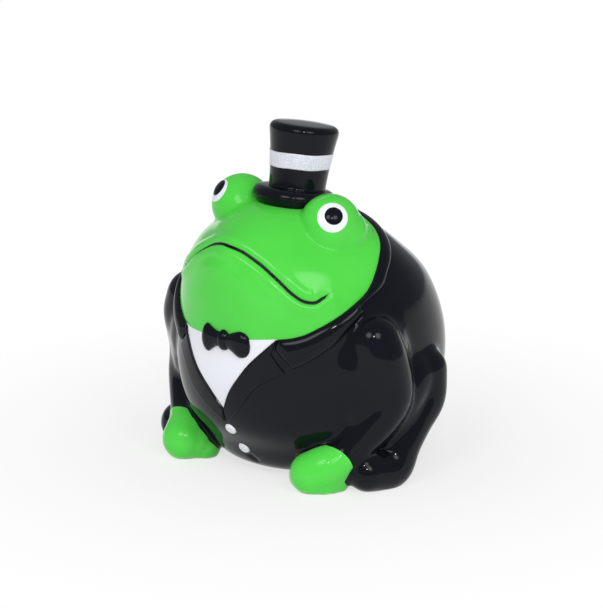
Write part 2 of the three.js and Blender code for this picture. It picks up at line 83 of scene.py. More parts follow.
class Signal:
    """A shader socket that takes part in Python arithmetic."""

    def __init__(self, desk: "Desk", socket: bpy.types.NodeSocket) -> None:
        """Wraps a socket.

        Args:
            desk: the node tree's writer.
            socket: the output that carries the value.
        """
        self.desk = desk
        self.socket = socket

    def _maths(self, operation: str, first: "Signal | float", second: "Signal | float") -> "Signal":
        """Adds a Math node and returns its value."""
        return self.desk.add("ShaderNodeMath", {"operation": operation}, {0: first, 1: second})

    def __add__(self, other: "Signal | float") -> "Signal":
        """self + other."""
        return self._maths("ADD", self, other)

    def __radd__(self, other: float) -> "Signal":
        """other + self."""
        return self._maths("ADD", other, self)

    def __sub__(self, other: "Signal | float") -> "Signal":
        """self - other."""
        return self._maths("SUBTRACT", self, other)

    def __rsub__(self, other: float) -> "Signal":
        """other - self."""
        return self._maths("SUBTRACT", other, self)

    def __mul__(self, other: "Signal | float") -> "Signal":
        """self * other."""
        return self._maths("MULTIPLY", self, other)

    def __rmul__(self, other: float) -> "Signal":
        """other * self."""
        return self._maths("MULTIPLY", other, self)

    def __lt__(self, other: "Signal | float") -> "Signal":
        """1 where self is less than other."""
        return self._maths("LESS_THAN", self, other)

    def up_to(self, other: "Signal | float") -> "Signal":
        """The smaller of self and other."""
        return self._maths("MINIMUM", self, other)

    def spread(self, low: float, high: float) -> "Signal":
        """0 below low, 1 above high, and even between them."""
        ends = {0: self, 1: low, 2: high, 3: 0.0, 4: 1.0}
        return self.desk.add("ShaderNodeMapRange", {"clamp": True}, ends)


Value = Signal | float | tuple | bpy.types.NodeSocket


class Desk:
    """Writes nodes into one node tree."""

    def __init__(self, tree: bpy.types.NodeTree) -> None:
        """Starts with an empty tree.

        Args:
            tree: the node tree of a material or a world.
        """
        self.tree = tree
        tree.nodes.clear()

    def node(self, kind: str, settings: dict, inputs: dict[int | str, Value]) -> bpy.types.Node:
        """Adds one node.

        Args:
            kind: the node's type name.
            settings: its own settings, such as a Math node's operation.
            inputs: values or links by socket name or index.

        Returns:
            The node.
        """
        node = self.tree.nodes.new(kind)
        for name, value in settings.items():
            setattr(node, name, value)
        for name, value in inputs.items():
            if isinstance(value, Signal):
                self.tree.links.new(value.socket, node.inputs[name])
            elif isinstance(value, bpy.types.NodeSocket):
                self.tree.links.new(value, node.inputs[name])
            else:
                node.inputs[name].default_value = value
        return node

    def add(self, kind: str, settings: dict, inputs: dict[int | str, Value], output: int | str = 0) -> Signal:
        """Adds one node and returns one of its outputs.

        Args:
            kind: the node's type name.
            settings: its own settings.
            inputs: values or links by socket name or index.
            output: the output's name or index.

        Returns:
            The output as a signal.
        """
        return Signal(self, self.node(kind, settings, inputs).outputs[output])

    def mix(self, share: Value, first: Value, second: Value) -> Signal:
        """A colour between two, share of the way to the second."""
        inputs = {0: share, 6: first, 7: second}
        return self.add("ShaderNodeMix", {"data_type": "RGBA"}, inputs, 2)

    def noise(self, where: Value, size: float, detail: float = 2.0) -> Signal:
        """Cloudy noise about 0.5, its features about size millimetres across."""
        inputs = {"Vector": where, "Scale": 1 / (size * MM), "Detail": detail, "Roughness": 0.5}
        return self.add("ShaderNodeTexNoise", {}, inputs, "Fac")

    def bump(self, height: Value, depth: float, under: Value | None = None) -> Signal:
        """A normal from a height of 0 to 1 that stands for depth millimetres."""
        inputs: dict[int | str, Value] = {"Height": height, "Distance": depth * MM, "Strength": 1.0}
        if under is not None:
            inputs["Normal"] = under
        return self.add("ShaderNodeBump", {}, inputs, "Normal")


def rgba(colour: Sequence[float], gain: float = 1.0) -> tuple[float, float, float, float]:
    """A linear colour from 8-bit sRGB numbers, times gain."""
    linear = [((c / 255 + 0.055) / 1.055) ** 2.4 if c > 10 else c / 255 / 12.92 for c in colour]
    return (linear[0] * gain, linear[1] * gain, linear[2] * gain, 1.0)


# Finishes


@dataclass(frozen=True)
class Glaze:
    """A fired glaze: thin to thick colour, gloss, and the slow waves left by the brush and the kiln."""

    name: str
    slot: Slot
    thick: tuple[float, float, float]
    thin: tuple[float, float, float]
    roughness: float = 0.07
    unevenness: float = 0.05
    pool_size: float = 26.0
    smear_size: float = 7.0
    wave: float = 0.05
    wave_size: float = 11.0
    peel: float = 0.004
    peel_size: float = 0.8
    specular: float = 0.5

    def material(self) -> bpy.types.Material:
        """Makes the material.

        Returns:
            A material that reads Object coordinates.
        """
        made = bpy.data.materials.new(self.name)
        made.use_nodes = True
        desk = Desk(made.node_tree)
        where = desk.node("ShaderNodeTexCoord", {}, {}).outputs["Object"]
        pool = desk.noise(where, self.pool_size).spread(0.3, 0.7)
        colour = self.tint(desk, where, desk.mix(pool, rgba(self.thin), rgba(self.thick)))
        smear = desk.noise(where, self.smear_size, 3.0).spread(0.35, 0.75)
        waves = desk.bump(desk.noise(where, self.wave_size, 1.0), self.wave)
        normal = desk.bump(desk.noise(where, self.peel_size, 1.0), self.peel, waves)
        inputs = {
            "Base Color": colour,
            "Roughness": self.gloss(desk, where, smear * self.unevenness + self.roughness),
            "Normal": self.grain(desk, where, normal),
            "Metallic": self.metal(desk, where),
            "Specular IOR Level": self.specular,
        }
        shader = desk.node("ShaderNodeBsdfPrincipled", {}, inputs)
        desk.node("ShaderNodeOutputMaterial", {}, {"Surface": shader.outputs[0]})
        made.diffuse_color = rgba(self.thick)
        return made

    def tint(self, desk: Desk, where: Value, colour: Signal) -> Signal:
        """The colour over the surface; a plain glaze leaves it as it is."""
        return colour

    def gloss(self, desk: Desk, where: Value, roughness: Signal) -> Signal:
        """The roughness over the surface; a plain glaze leaves it as it is."""
        return roughness

    def grain(self, desk: Desk, where: Value, normal: Signal) -> Signal:
        """The normal over the surface; a plain glaze leaves it as it is."""
        return normal

    def metal(self, desk: Desk, where: Value) -> Value:
        """How metallic the surface is; a plain glaze isn't."""
        return 0.0


@dataclass(frozen=True)
class FootedGlaze(Glaze):
    """A glaze that is wiped off where the piece stands and inside its drain hole."""

    clay: tuple[float, float, float] = (224, 219, 207)
    clay_roughness: float = 0.8
    foot_height: float = 0.55
    foot_wobble: float = 0.6
    hole_y: float = 6.0
    hole_reach: float = 8.5
    hole_top: float = 22.0

    def bare(self, desk: Desk, where: Value) -> Signal:
        """1 on the bare clay: at the foot, and inside the body past the drain hole."""
        parts = desk.node("ShaderNodeSeparateXYZ", {}, {"Vector": where})
        x, y, z = (Signal(desk, out) for out in parts.outputs)
        off_centre = y - (self.hole_y + FOOT_SHIFT) * MM
        from_hole = x * x + off_centre * off_centre
        inside = (from_hole < (self.hole_reach * MM) ** 2) * (z < self.hole_top * MM)
        wobble = desk.noise(where, 3.0) * (self.foot_wobble * MM)
        foot = z + wobble < (self.foot_height + self.foot_wobble / 2) * MM
        return (inside + foot).up_to(1.0)

    def tint(self, desk: Desk, where: Value, colour: Signal) -> Signal:
        """Bare clay at the foot."""
        speck = desk.noise(where, 1.5, 4.0).spread(0.35, 0.75)
        clay = desk.mix(speck, rgba(self.clay), rgba(self.clay, 0.86))
        return desk.mix(self.bare(desk, where), colour, clay)

    def gloss(self, desk: Desk, where: Value, roughness: Signal) -> Signal:
        """Bare clay is matt."""
        bare = self.bare(desk, where)
        return roughness * (1 - bare) + bare * self.clay_roughness


@dataclass(frozen=True)
class Lustre(Glaze):
    """Silver paint over the glaze: fine bright flakes in a soft metal ground."""

    flake: float = 0.5
    flake_colour: tuple[float, float, float] = (250, 251, 255)
    flake_depth: float = 0.03
    thinning_size: float = 4.0

    def tint(self, desk: Desk, where: Value, colour: Signal) -> Signal:
        """Flakes a little lighter and darker than the ground."""
        fleck = desk.noise(where, self.flake, 3.0).spread(0.3, 0.7)
        return desk.mix(fleck, colour, rgba(self.flake_colour))

    def gloss(self, desk: Desk, where: Value, roughness: Signal) -> Signal:
        """Flakes catch the light one by one."""
        return roughness + desk.noise(where, self.flake * 0.8, 2.0) * 0.2

    def grain(self, desk: Desk, where: Value, normal: Signal) -> Signal:
        """Flakes lie at slightly different angles."""
        return desk.bump(desk.noise(where, self.flake, 2.0), self.flake_depth, normal)

    def metal(self, desk: Desk, where: Value) -> Value:
        """Thin metal over the glaze, thinner in places."""
        return desk.noise(where, self.thinning_size).spread(0.1, 0.9) * 0.12 + 0.2


GREEN_COLOURS = ((79, 213, 70), (86, 219, 77))
# The hands' green is a lighter copy of the head's green: painted bounce light, standing for light thrown up
# from the floor onto the hands.
BOUNCE_LIT_HAND_COLOURS = ((86, 222, 77), (94, 228, 85))
BLACK_COLOURS = ((13, 15, 22), (16, 18, 26))
WHITE_COLOURS = ((239, 242, 249), (243, 245, 251))
SILVER_COLOURS = ((202, 202, 225), (213, 213, 234))
GREEN_GLOSS = {"roughness": 0.09, "specular": 0.24}
BLACK_GLOSS = {"roughness": 0.04, "specular": 0.18, "peel": 0.006}
GREEN = Glaze("green_glaze", Slot.GREEN, *GREEN_COLOURS, **GREEN_GLOSS)
# FOOTED_GREEN carries the hands' lighter green, which is painted bounce light from the floor.
FOOTED_GREEN = FootedGlaze("hand_glaze", Slot.GREEN, *BOUNCE_LIT_HAND_COLOURS, **GREEN_GLOSS)
BLACK = Glaze("black_glaze", Slot.BLACK, *BLACK_COLOURS, **BLACK_GLOSS)
FOOTED_BLACK = FootedGlaze("coat_glaze", Slot.BLACK, *BLACK_COLOURS, **BLACK_GLOSS)
WHITE = Glaze("white_glaze", Slot.WHITE, *WHITE_COLOURS, roughness=0.2, wave=0.03, specular=0.25)
SILVER = Lustre("silver_lustre", Slot.SILVER, *SILVER_COLOURS, roughness=0.34)


# Curves and mesh helpers


@dataclass(frozen=True)
class Spline:
    """A centripetal Catmull-Rom curve through points."""

    points: tuple[tuple[float, ...], ...]

    def at(self, where: np.ndarray) -> np.ndarray:
        """Reads the curve.

        Args:
            where: places from 0 at the first point to 1 at the last.

        Returns:
            One row for each place.
        """
        knots = np.array(self.points, float)
        ends = [2 * knots[0] - knots[1], 2 * knots[-1] - knots[-2]]
        full = np.vstack([ends[0], knots, ends[1]])
        place = np.clip(np.atleast_1d(where), 0, 1) * (len(knots) - 1)
        low = np.minimum(place.astype(int), len(knots) - 2)
        t = (place - low)[:, None]
        p0, p1, p2, p3 = (full[low + i] for i in range(4))
        spans = ((p0, p1), (p1, p2), (p2, p3))
        d0, d1, d2 = (np.maximum(((b - a) ** 2).sum(1) ** 0.25, TINY)[:, None] for a, b in spans)
        leave = ((p1 - p0) / d0 - (p2 - p0) / (d0 + d1) + (p2 - p1) / d1) * d1
        arrive = ((p2 - p1) / d1 - (p3 - p1) / (d1 + d2) + (p3 - p2) / d2) * d1
        cubic = 2 * p1 - 2 * p2 + leave + arrive
        square = -3 * p1 + 3 * p2 - 2 * leave - arrive
        return p1 + leave * t + square * t**2 + cubic * t**3


def even(points: np.ndarray, count: int) -> np.ndarray:
    """The same polyline read at count places the same distance apart."""
    steps = np.r_[0, np.cumsum(np.linalg.norm(np.diff(points, axis=0), axis=1))]
    at = np.linspace(0, steps[-1], count)
    return np.column_stack([np.interp(at, steps, column) for column in points.T])


def smoothstep(value: np.ndarray) -> np.ndarray:
    """0 below 0, 1 above 1, and an S between."""
    t = np.clip(value, 0, 1)
    return t * t * (3 - 2 * t)


def unit(vectors: np.ndarray) -> np.ndarray:
    """Each row with length 1."""
    return vectors / np.maximum(np.linalg.norm(vectors, axis=-1, keepdims=True), 1e-12)


def direction(azimuth: float, elevation: float) -> Vector:
    """The way at two angles in degrees: round from the front to the frog's left, and upwards."""
    turn, lift = math.radians(azimuth), math.radians(elevation)
    return Vector((math.sin(turn) * math.cos(lift), -math.cos(turn) * math.cos(lift), math.sin(lift)))


def coordinates(verts: Sequence[bmesh.types.BMVert]) -> np.ndarray:
    """The vertices' places, one row each."""
    return np.array([vert.co for vert in verts])


def settle(verts: Sequence[bmesh.types.BMVert], places: np.ndarray) -> None:
    """Moves each vertex to its row of places."""
    for vert, place in zip(verts, places):
        vert.co = place


def face_out(shape: bmesh.types.BMesh) -> None:
    """Turns the faces of closed shells outwards."""
    bmesh.ops.recalc_face_normals(shape, faces=shape.faces[:])


def put(shape: bmesh.types.BMesh, place: Matrix) -> None:
    """Moves a shape from its own frame to the body's."""
    bmesh.ops.transform(shape, matrix=place, verts=shape.verts[:])


def flat_sheet(rows: int, columns: int) -> tuple[bmesh.types.BMesh, np.ndarray, np.ndarray]:
    """Makes a flat grid to be laid on the skin.

    Args:
        rows: how many rows of vertices it has.
        columns: how many vertices each row has.

    Returns:
        The bmesh, and for each vertex its row and its place across, from -1 to 1.
    """
    shape = bmesh.new()
    bmesh.ops.create_grid(shape, x_segments=rows - 1, y_segments=columns - 1, size=1)
    where = coordinates(shape.verts)
    return shape, np.rint((where[:, 0] + 1) / 2 * (rows - 1)).astype(int), where[:, 1]


def course_tree(course: np.ndarray) -> KDTree:
    """A tree that finds the nearest point of a course, and its number."""
    tree = KDTree(len(course))
    for i, point in enumerate(course):
        tree.insert(Vector(point), i)
    tree.balance()
    return tree


def ball(shape: bmesh.types.BMesh, around: int, up: int) -> tuple[list, np.ndarray, np.ndarray]:
    """Adds a unit ball to be reshaped.

    Args:
        shape: the bmesh.
        around: segments round its Z axis.
        up: rings from pole to pole.

    Returns:
        Its vertices, and for each its share of the way from the lower pole to the upper one and its
        angle round the axis.
    """
    older = set(shape.verts)
    bmesh.ops.create_grid(shape, x_segments=around, y_segments=up, size=1)
    sheet = [vert for vert in shape.verts if vert not in older]
    flat = coordinates(sheet)
    turn, lift = flat[:, 0] * math.pi, (flat[:, 1] + 1) / 2 * math.pi
    ring = np.sin(lift)
    settle(sheet, np.column_stack([ring * np.cos(turn), ring * np.sin(turn), -np.cos(lift)]))
    rim = [vert for vert, at in zip(sheet, np.abs(flat).max(axis=1)) if at > 1 - TINY]
    bmesh.ops.remove_doubles(shape, verts=rim, dist=MERGE)
    verts = [vert for vert in sheet if vert.is_valid]
    where = coordinates(verts)
    share = np.arccos(np.clip(-where[:, 2], -1, 1)) / math.pi
    return verts, share, np.arctan2(where[:, 1], where[:, 0])


def weld(shells: bmesh.types.BMesh, voxel: float, rounds: int) -> bmesh.types.BMesh:
    """Joins overlapping closed shells into one skin whose inner corners are filled softly.

    Args:
        shells: the shells, used up here.
        voxel: the new mesh's step in millimetres.
        rounds: how many times the skin is smoothed.

    Returns:
        The joined skin.
    """
    mesh = bpy.data.meshes.new("shells")
    shells.to_mesh(mesh)
    shells.free()
    holder = bpy.data.objects.new("shells", mesh)
    bpy.context.scene.collection.objects.link(holder)
    join = holder.modifiers.new("join", "REMESH")
    join.mode = "VOXEL"
    join.voxel_size = voxel
    flow = holder.modifiers.new("flow", "SMOOTH")
    flow.factor = 0.5
    flow.iterations = rounds
    graph = bpy.context.evaluated_depsgraph_get()
    done = bmesh.new()
    done.from_mesh(holder.evaluated_get(graph).to_mesh())
    bpy.data.objects.remove(holder)
    return done


def slice_off(shape: bmesh.types.BMesh, point: Sequence[float], outward: Sequence[float]) -> None:
    """Cuts away what lies past a plane and closes the cut with one flat, sharp-edged face.

    Args:
        shape: the bmesh.
        point: a point of the plane.
        outward: the plane's normal, towards what goes.
    """
    geometry = shape.verts[:] + shape.edges[:] + shape.faces[:]
    cut = bmesh.ops.bisect_plane(
        shape, geom=geometry, dist=MERGE, plane_co=point, plane_no=outward, clear_outer=True
    )
    rim = [part for part in cut["geom_cut"] if isinstance(part, bmesh.types.BMEdge)]
    rim = [edge for edge in rim if edge.is_boundary]
    for edge in rim:
        edge.smooth = False
    filled = bmesh.ops.holes_fill(shape, edges=rim, sides=0)["faces"]
    bmesh.ops.triangulate(shape, faces=filled)


def turned(profile: Sequence[tuple[float, float]], steps: int) -> bmesh.types.BMesh:
    """Spins a profile round Z.

    Args:
        profile: points as radius and height, from axis to axis.
        steps: segments round the axis.

    Returns:
        A closed bmesh.
    """
    shape = bmesh.new()
    verts = [shape.verts.new((radius, 0, height)) for radius, height in profile]
    line = verts + [shape.edges.new(pair) for pair in zip(verts, verts[1:])]
    bmesh.ops.spin(
        shape, geom=line, cent=(0, 0, 0), axis=(0, 0, 1), angle=2 * math.pi, steps=steps, use_merge=True
    )
    bmesh.ops.remove_doubles(shape, verts=shape.verts[:], dist=10 * MERGE)
    face_out(shape)
    return shape


def filleted(corners: Sequence[tuple[float, float, float]], steps: int = 8) -> list[tuple[float, float]]:
    """A profile whose corners are rounded.

    Args:
        corners: radius, height and fillet radius of each corner.
        steps: points along each fillet.

    Returns:
        Points as radius and height.
    """
    points: list[tuple[float, float]] = []
    for i, (radius, height, fillet) in enumerate(corners):
        here = np.array([radius, height])
        if fillet <= 0 or i in (0, len(corners) - 1):
            points.append((radius, height))
            continue
        before = unit(np.array(corners[i - 1][:2]) - here)
        after = unit(np.array(corners[i + 1][:2]) - here)
        half = math.acos(np.clip(before @ after, -1, 1)) / 2
        reach = fillet / math.tan(half)
        start, end, weight = here + before * reach, here + after * reach, math.sin(half)
        for t in np.linspace(0, 1, steps):
            parts = ((1 - t) ** 2, 2 * weight * t * (1 - t), t**2)
            place = (parts[0] * start + parts[1] * here + parts[2] * end) / sum(parts)
            points.append((float(place[0]), float(place[1])))
    return points


@dataclass
class Workshop:
    """Turns finished shapes into pieces of the part and keeps one material for each finish."""

    body: str = "root"
    materials: dict[str, bpy.types.Material] = field(default_factory=dict)

    def material(self, glaze: Glaze) -> bpy.types.Material:
        """The glaze's material, made once."""
        if glaze.name not in self.materials:
            self.materials[glaze.name] = glaze.material()
        return self.materials[glaze.name]

    def piece(self, name: str, shape: bmesh.types.BMesh, glaze: Glaze, nodes: Sequence[str]) -> None:
        """Makes one piece from a shape in millimetres.

        Args:
            name: the piece's name.
            shape: its bmesh in the body's frame, used up here.
            glaze: its finish.
            nodes: the CAD nodes that it stands for.
        """
        bmesh.ops.translate(shape, vec=(0, FOOT_SHIFT, 0), verts=shape.verts[:])
        bmesh.ops.scale(shape, vec=(MM, MM, MM), verts=shape.verts[:])
        for face in shape.faces:
            face.smooth = True
        mesh = bpy.data.meshes.new(name)
        shape.to_mesh(mesh)
        shape.free()
        mesh.materials.append(self.material(glaze))
        made = bpy.data.objects.new(name, mesh)
        bpy.context.scene.collection.objects.link(made)
        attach(made, self.body)
        if nodes:
            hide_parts(*nodes)
        log.info("%s: %d faces, stands for %s", name, len(mesh.polygons), ", ".join(nodes) or "no node")


# The body's skin


@dataclass
class Skin:
    """The body's outer form: front, side and back profiles of the same rings from the ground up."""

    front: Spline = Spline((
        (-21, 0), (-32.5, 4.8), (-39, 14.5), (-46.5, 25), (-50.5, 42), (-50.3, 62),
        (-52, 84), (-51.5, 96), (-48.3, 104.3), (-38, 110.5), (-24, 115), (-12, 116.5),
    ))
    side: Spline = Spline((
        (25, 6, 0), (37, 6.5, 4.8), (46.5, 7, 14.5), (52.5, 7.5, 27), (55.5, 8, 45), (55, 8, 62),
        (51, 6, 82), (44.5, 2, 96), (34.5, 0, 105), (24, -4, 111), (13, -9, 115), (0, -12, 116.5),
    ))
    back: Spline = Spline((
        (31, 0), (43, 5), (53, 15), (59.5, 27), (62.4, 45), (61, 62),
        (51, 82), (35.5, 96), (24, 105), (14, 110.5), (2, 114.5), (-12, 116.5),
    ))
    front_power: Spline = Spline(tuple(
        (p, i) for i, p in enumerate((2.1, 2.15, 2.15, 2.15, 2.15, 2.1, 2, 1.72, 1.5, 1.7, 1.95, 2))
    ))
    back_power: Spline = Spline(tuple(
        (p, i) for i, p in enumerate((2.1, 2.15, 2.15, 2.15, 2.15, 2.1, 2.05, 1.95, 1.92, 1.95, 2, 2))
    ))
    neck: Spline = Spline((
        (-64, 59), (-50.6, 64.6), (-43.5, 66.2), (-33.8, 71.8), (-22.3, 78.6), (-12.9, 84.4),
        (-4.8, 92.4), (-0.6, 96.3), (7.1, 101.6), (17, 108), (34, 118),
    ))
    collar: Spline = Spline((
        (-64, 56), (-35, 69), (-22, 75.6), (-15.3, 80), (-5.2, 84.4),
        (0, 89.5), (6.9, 95.1), (17.7, 102), (34, 112),
    ))
    lean: float = 0.035
    front_lean: float = 0.05
    front_lean_from: float = 38.0
    front_lean_over: float = 10.0
    scan: tuple[float, float, int] = (0.25, 0.97, 160)
    middle: float = 6.0
    tree: BVHTree = field(init=False)

    def __post_init__(self) -> None:
        """Prepares the skin for sight lines."""
        shape = bmesh.new()
        verts, share, angle = ball(shape, 360, 240)
        settle(verts, self.at(share, angle))
        face_out(shape)
        self.tree = BVHTree.FromBMesh(shape)
        shape.free()

    def at(self, rise: np.ndarray, angle: np.ndarray) -> np.ndarray:
        """Points of the skin.

        Args:
            rise: 0 at the foot to 1 at the crown.
            angle: angle round the body from +X, in radians.

        Returns:
            One row for each point.
        """
        rise, angle = np.broadcast_arrays(np.atleast_1d(rise), np.atleast_1d(angle))
        ahead = np.sin(angle) < 0
        power = 2 / np.where(ahead, self.front_power.at(rise)[:, 0], self.back_power.at(rise)[:, 0])
        across = np.sign(np.cos(angle)) * np.abs(np.cos(angle)) ** power
        along = np.abs(np.sin(angle)) ** power
        side = self.side.at(rise)
        end = np.where(ahead[:, None], self.front.at(rise), self.back.at(rise))
        y = side[:, 1] + (end[:, 0] - side[:, 1]) * along
        z = side[:, 2] + (end[:, 1] - side[:, 2]) * along**2
        return np.column_stack([side[:, 0] * across, y, z])

    def out(self, rise: np.ndarray, angle: np.ndarray) -> np.ndarray:
        """The skin's normals at the same places."""
        step = 1e-3
        rise = np.clip(rise, 0.004, 0.992)
        up = self.at(rise + step, angle) - self.at(rise - step, angle)
        round_ = self.at(rise, angle + step) - self.at(rise, angle - step)
        return unit(np.cross(round_, up))

    def above(self, line: Spline, places: np.ndarray) -> np.ndarray:
        """How far each point lies above a leaning line that is seen from the side."""
        edge = line.at(np.linspace(0, 1, 200))
        ahead = smoothstep((-places[:, 1] - self.front_lean_from) / self.front_lean_over)
        lean = self.lean + self.front_lean * ahead
        return places[:, 2] - np.interp(places[:, 1], edge[:, 0], edge[:, 1]) - lean * places[:, 0]

    def along(self, line: Spline, angles: np.ndarray) -> np.ndarray:
        """Where the skin crosses a leaning line, at angles round the body."""
        rises = np.linspace(*self.scan)
        points = self.at(np.tile(rises, len(angles)), np.repeat(angles, len(rises)))
        over = self.above(line, points).reshape(len(angles), -1)
        points = points.reshape(len(angles), -1, 3)
        row, step = np.arange(len(angles)), np.maximum(np.argmax(over > 0, axis=1), 1)
        share = (over[row, step - 1] / (over[row, step - 1] - over[row, step]))[:, None]
        return points[row, step - 1] * (1 - share) + points[row, step] * share

    def from_front(self, outline: np.ndarray) -> np.ndarray:
        """Points of the skin behind an outline of x and z seen from the front."""
        rays = [self.tree.ray_cast(Vector((x, FRONT, z)), Vector((0, 1, 0))) for x, z in outline]
        return np.array([hit[0] for hit in rays])

    def nearest(self, places: np.ndarray) -> tuple[np.ndarray, np.ndarray]:
        """The nearest points of the skin and the normals there."""
        hits = [self.tree.find_nearest(Vector(place)) for place in places]
        return np.array([hit[0] for hit in hits]), np.array([hit[1] for hit in hits])

    def chest_frame(self, x: float, z: float) -> Matrix:
        """A frame on the chest: origin on the skin, +Z out of it, +Y upwards."""
        point, normal, _, _ = self.tree.ray_cast(Vector((x, FRONT, z)), Vector((0, 1, 0)))
        across = Vector((0, 0, 1)).cross(normal).normalized()
        turn = Matrix((across, normal.cross(across), normal)).transposed().to_4x4()
        return Matrix.Translation(point) @ turn


# Limbs


@dataclass(frozen=True)
class Limb:
    """A limb on the frog's left: spine points with the limb's radius at each."""

    spine: tuple[tuple[float, float, float, float], ...]
    dome: float = 0.14

    def add(self, shape: bmesh.types.BMesh, side: Side, extra: float = 0.0) -> None:
        """Adds the limb as a closed shell with round ends.

        Args:
            shape: the bmesh.
            side: the side it goes to.
            extra: how much fatter it is made.
        """
        verts, share, turn = ball(shape, 96, 96)
        path = Spline(tuple(point[:3] for point in self.spine))
        girth = Spline(tuple((point[3], i) for i, point in enumerate(self.spine)))
        place = np.clip((share - self.dome) / (1 - 2 * self.dome), 0, 1)
        ahead = unit(path.at(np.minimum(place + 0.01, 1)) - path.at(np.maximum(place - 0.01, 0)))
        run = np.abs(np.array(self.spine[-1][:3]) - np.array(self.spine[0][:3]))
        axis = int(np.argmin(run))
        across = unit(np.eye(3)[axis] - ahead * ahead[:, axis : axis + 1])
        other = np.cross(ahead, across)
        radius = girth.at(place)[:, 0] + extra
        tilt = np.minimum(np.minimum(share, 1 - share) / self.dome, 1) * math.pi / 2
        shift = np.where(share < 0.5, -1, 1) * radius * np.cos(tilt)
        ring = radius * np.sin(tilt)
        places = path.at(place) + ahead * shift[:, None]
        places += across * (ring * np.cos(turn))[:, None] + other * (ring * np.sin(turn))[:, None]
        places[:, 0] *= side.value
        settle(verts, places)


SLEEVE_SPINE = (
    (50, -13, 64.5, 11.6), (51.8, -12, 57, 12.4), (52.8, -9.2, 48, 12.2), (53.2, -8.2, 39.5, 11.4),
    (51.4, -13.2, 30, 10), (47.6, -18.5, 22, 8.9), (43.6, -23.2, 15.5, 8.3), (38.4, -29.3, 10.7, 9.7),
)
ARMS = {
    Side.LEFT: Limb((*SLEEVE_SPINE, (33.4, -33.4, 7.7, 9.3))),
    Side.RIGHT: Limb((*SLEEVE_SPINE, (36.9, -34.2, 7.7, 9.4))),
}
PALMS = {
    Side.LEFT: Limb((
        (28.2, -31.4, 5.2, 6.9), (32.4, -32.0, 5.6, 8.0), (36.8, -30.0, 5.2, 8.1), (39.2, -25.6, 5.0, 7.4),
    )),
    Side.RIGHT: Limb((
        (31.0, -27.8, 4.5, 7.3), (33.0, -29.4, 6.0, 8.8), (35.8, -30.6, 7.2, 9.2), (39.6, -27.0, 5.6, 7.8),
    )),
}
SHOULDER = Limb((
    (38.6, -3.0, 66.0, 16.2), (41.6, -6.6, 57.0, 17.8), (44.0, -9.6, 48.0, 18.0), (45.6, -11.2, 40.0, 15.0),
    (46.8, -12.8, 32.0, 11.4),
))
CHEST = Limb((
    (36.5, -9.0, 64.0, 13.4), (40.0, -13.4, 55.0, 16.0), (42.2, -15.0, 46.0, 14.8), (44.0, -15.6, 38.0, 11.4),
))
THIGH_SPINE = ((53, 18.6, 45.2, 9.2), (54, 16.5, 33, 9), (54, 8.6, 24.5, 8.5), (54, 0.8, 16, 8.5))
LEGS = {
    Side.LEFT: Limb((*THIGH_SPINE, (53.4, -5.0, 7.0, 8.8), (50.8, -17.8, 7.6, 8.4))),
    Side.RIGHT: Limb((*THIGH_SPINE, (53.4, -4.6, 7.0, 8.7), (52.7, -17.4, 7.3, 9.6))),
}
CALF = Limb((
    (50.6, 9.6, 43.6, 11.2), (51.0, 3.6, 36.0, 10.4), (51.0, -1.4, 28.0, 8.9), (50.0, -4.6, 20.5, 7.0),
))


def add_ball(shape: bmesh.types.BMesh, place: Sequence[float], radius: float, side: Side) -> None:
    """Adds a plain round swelling to shells that are to be joined."""
    verts, _, _ = ball(shape, 28, 18)
    centre = np.array([place[0] * side.value, place[1], place[2]])
    settle(verts, coordinates(verts) * radius + centre)


# Coat, hands and head


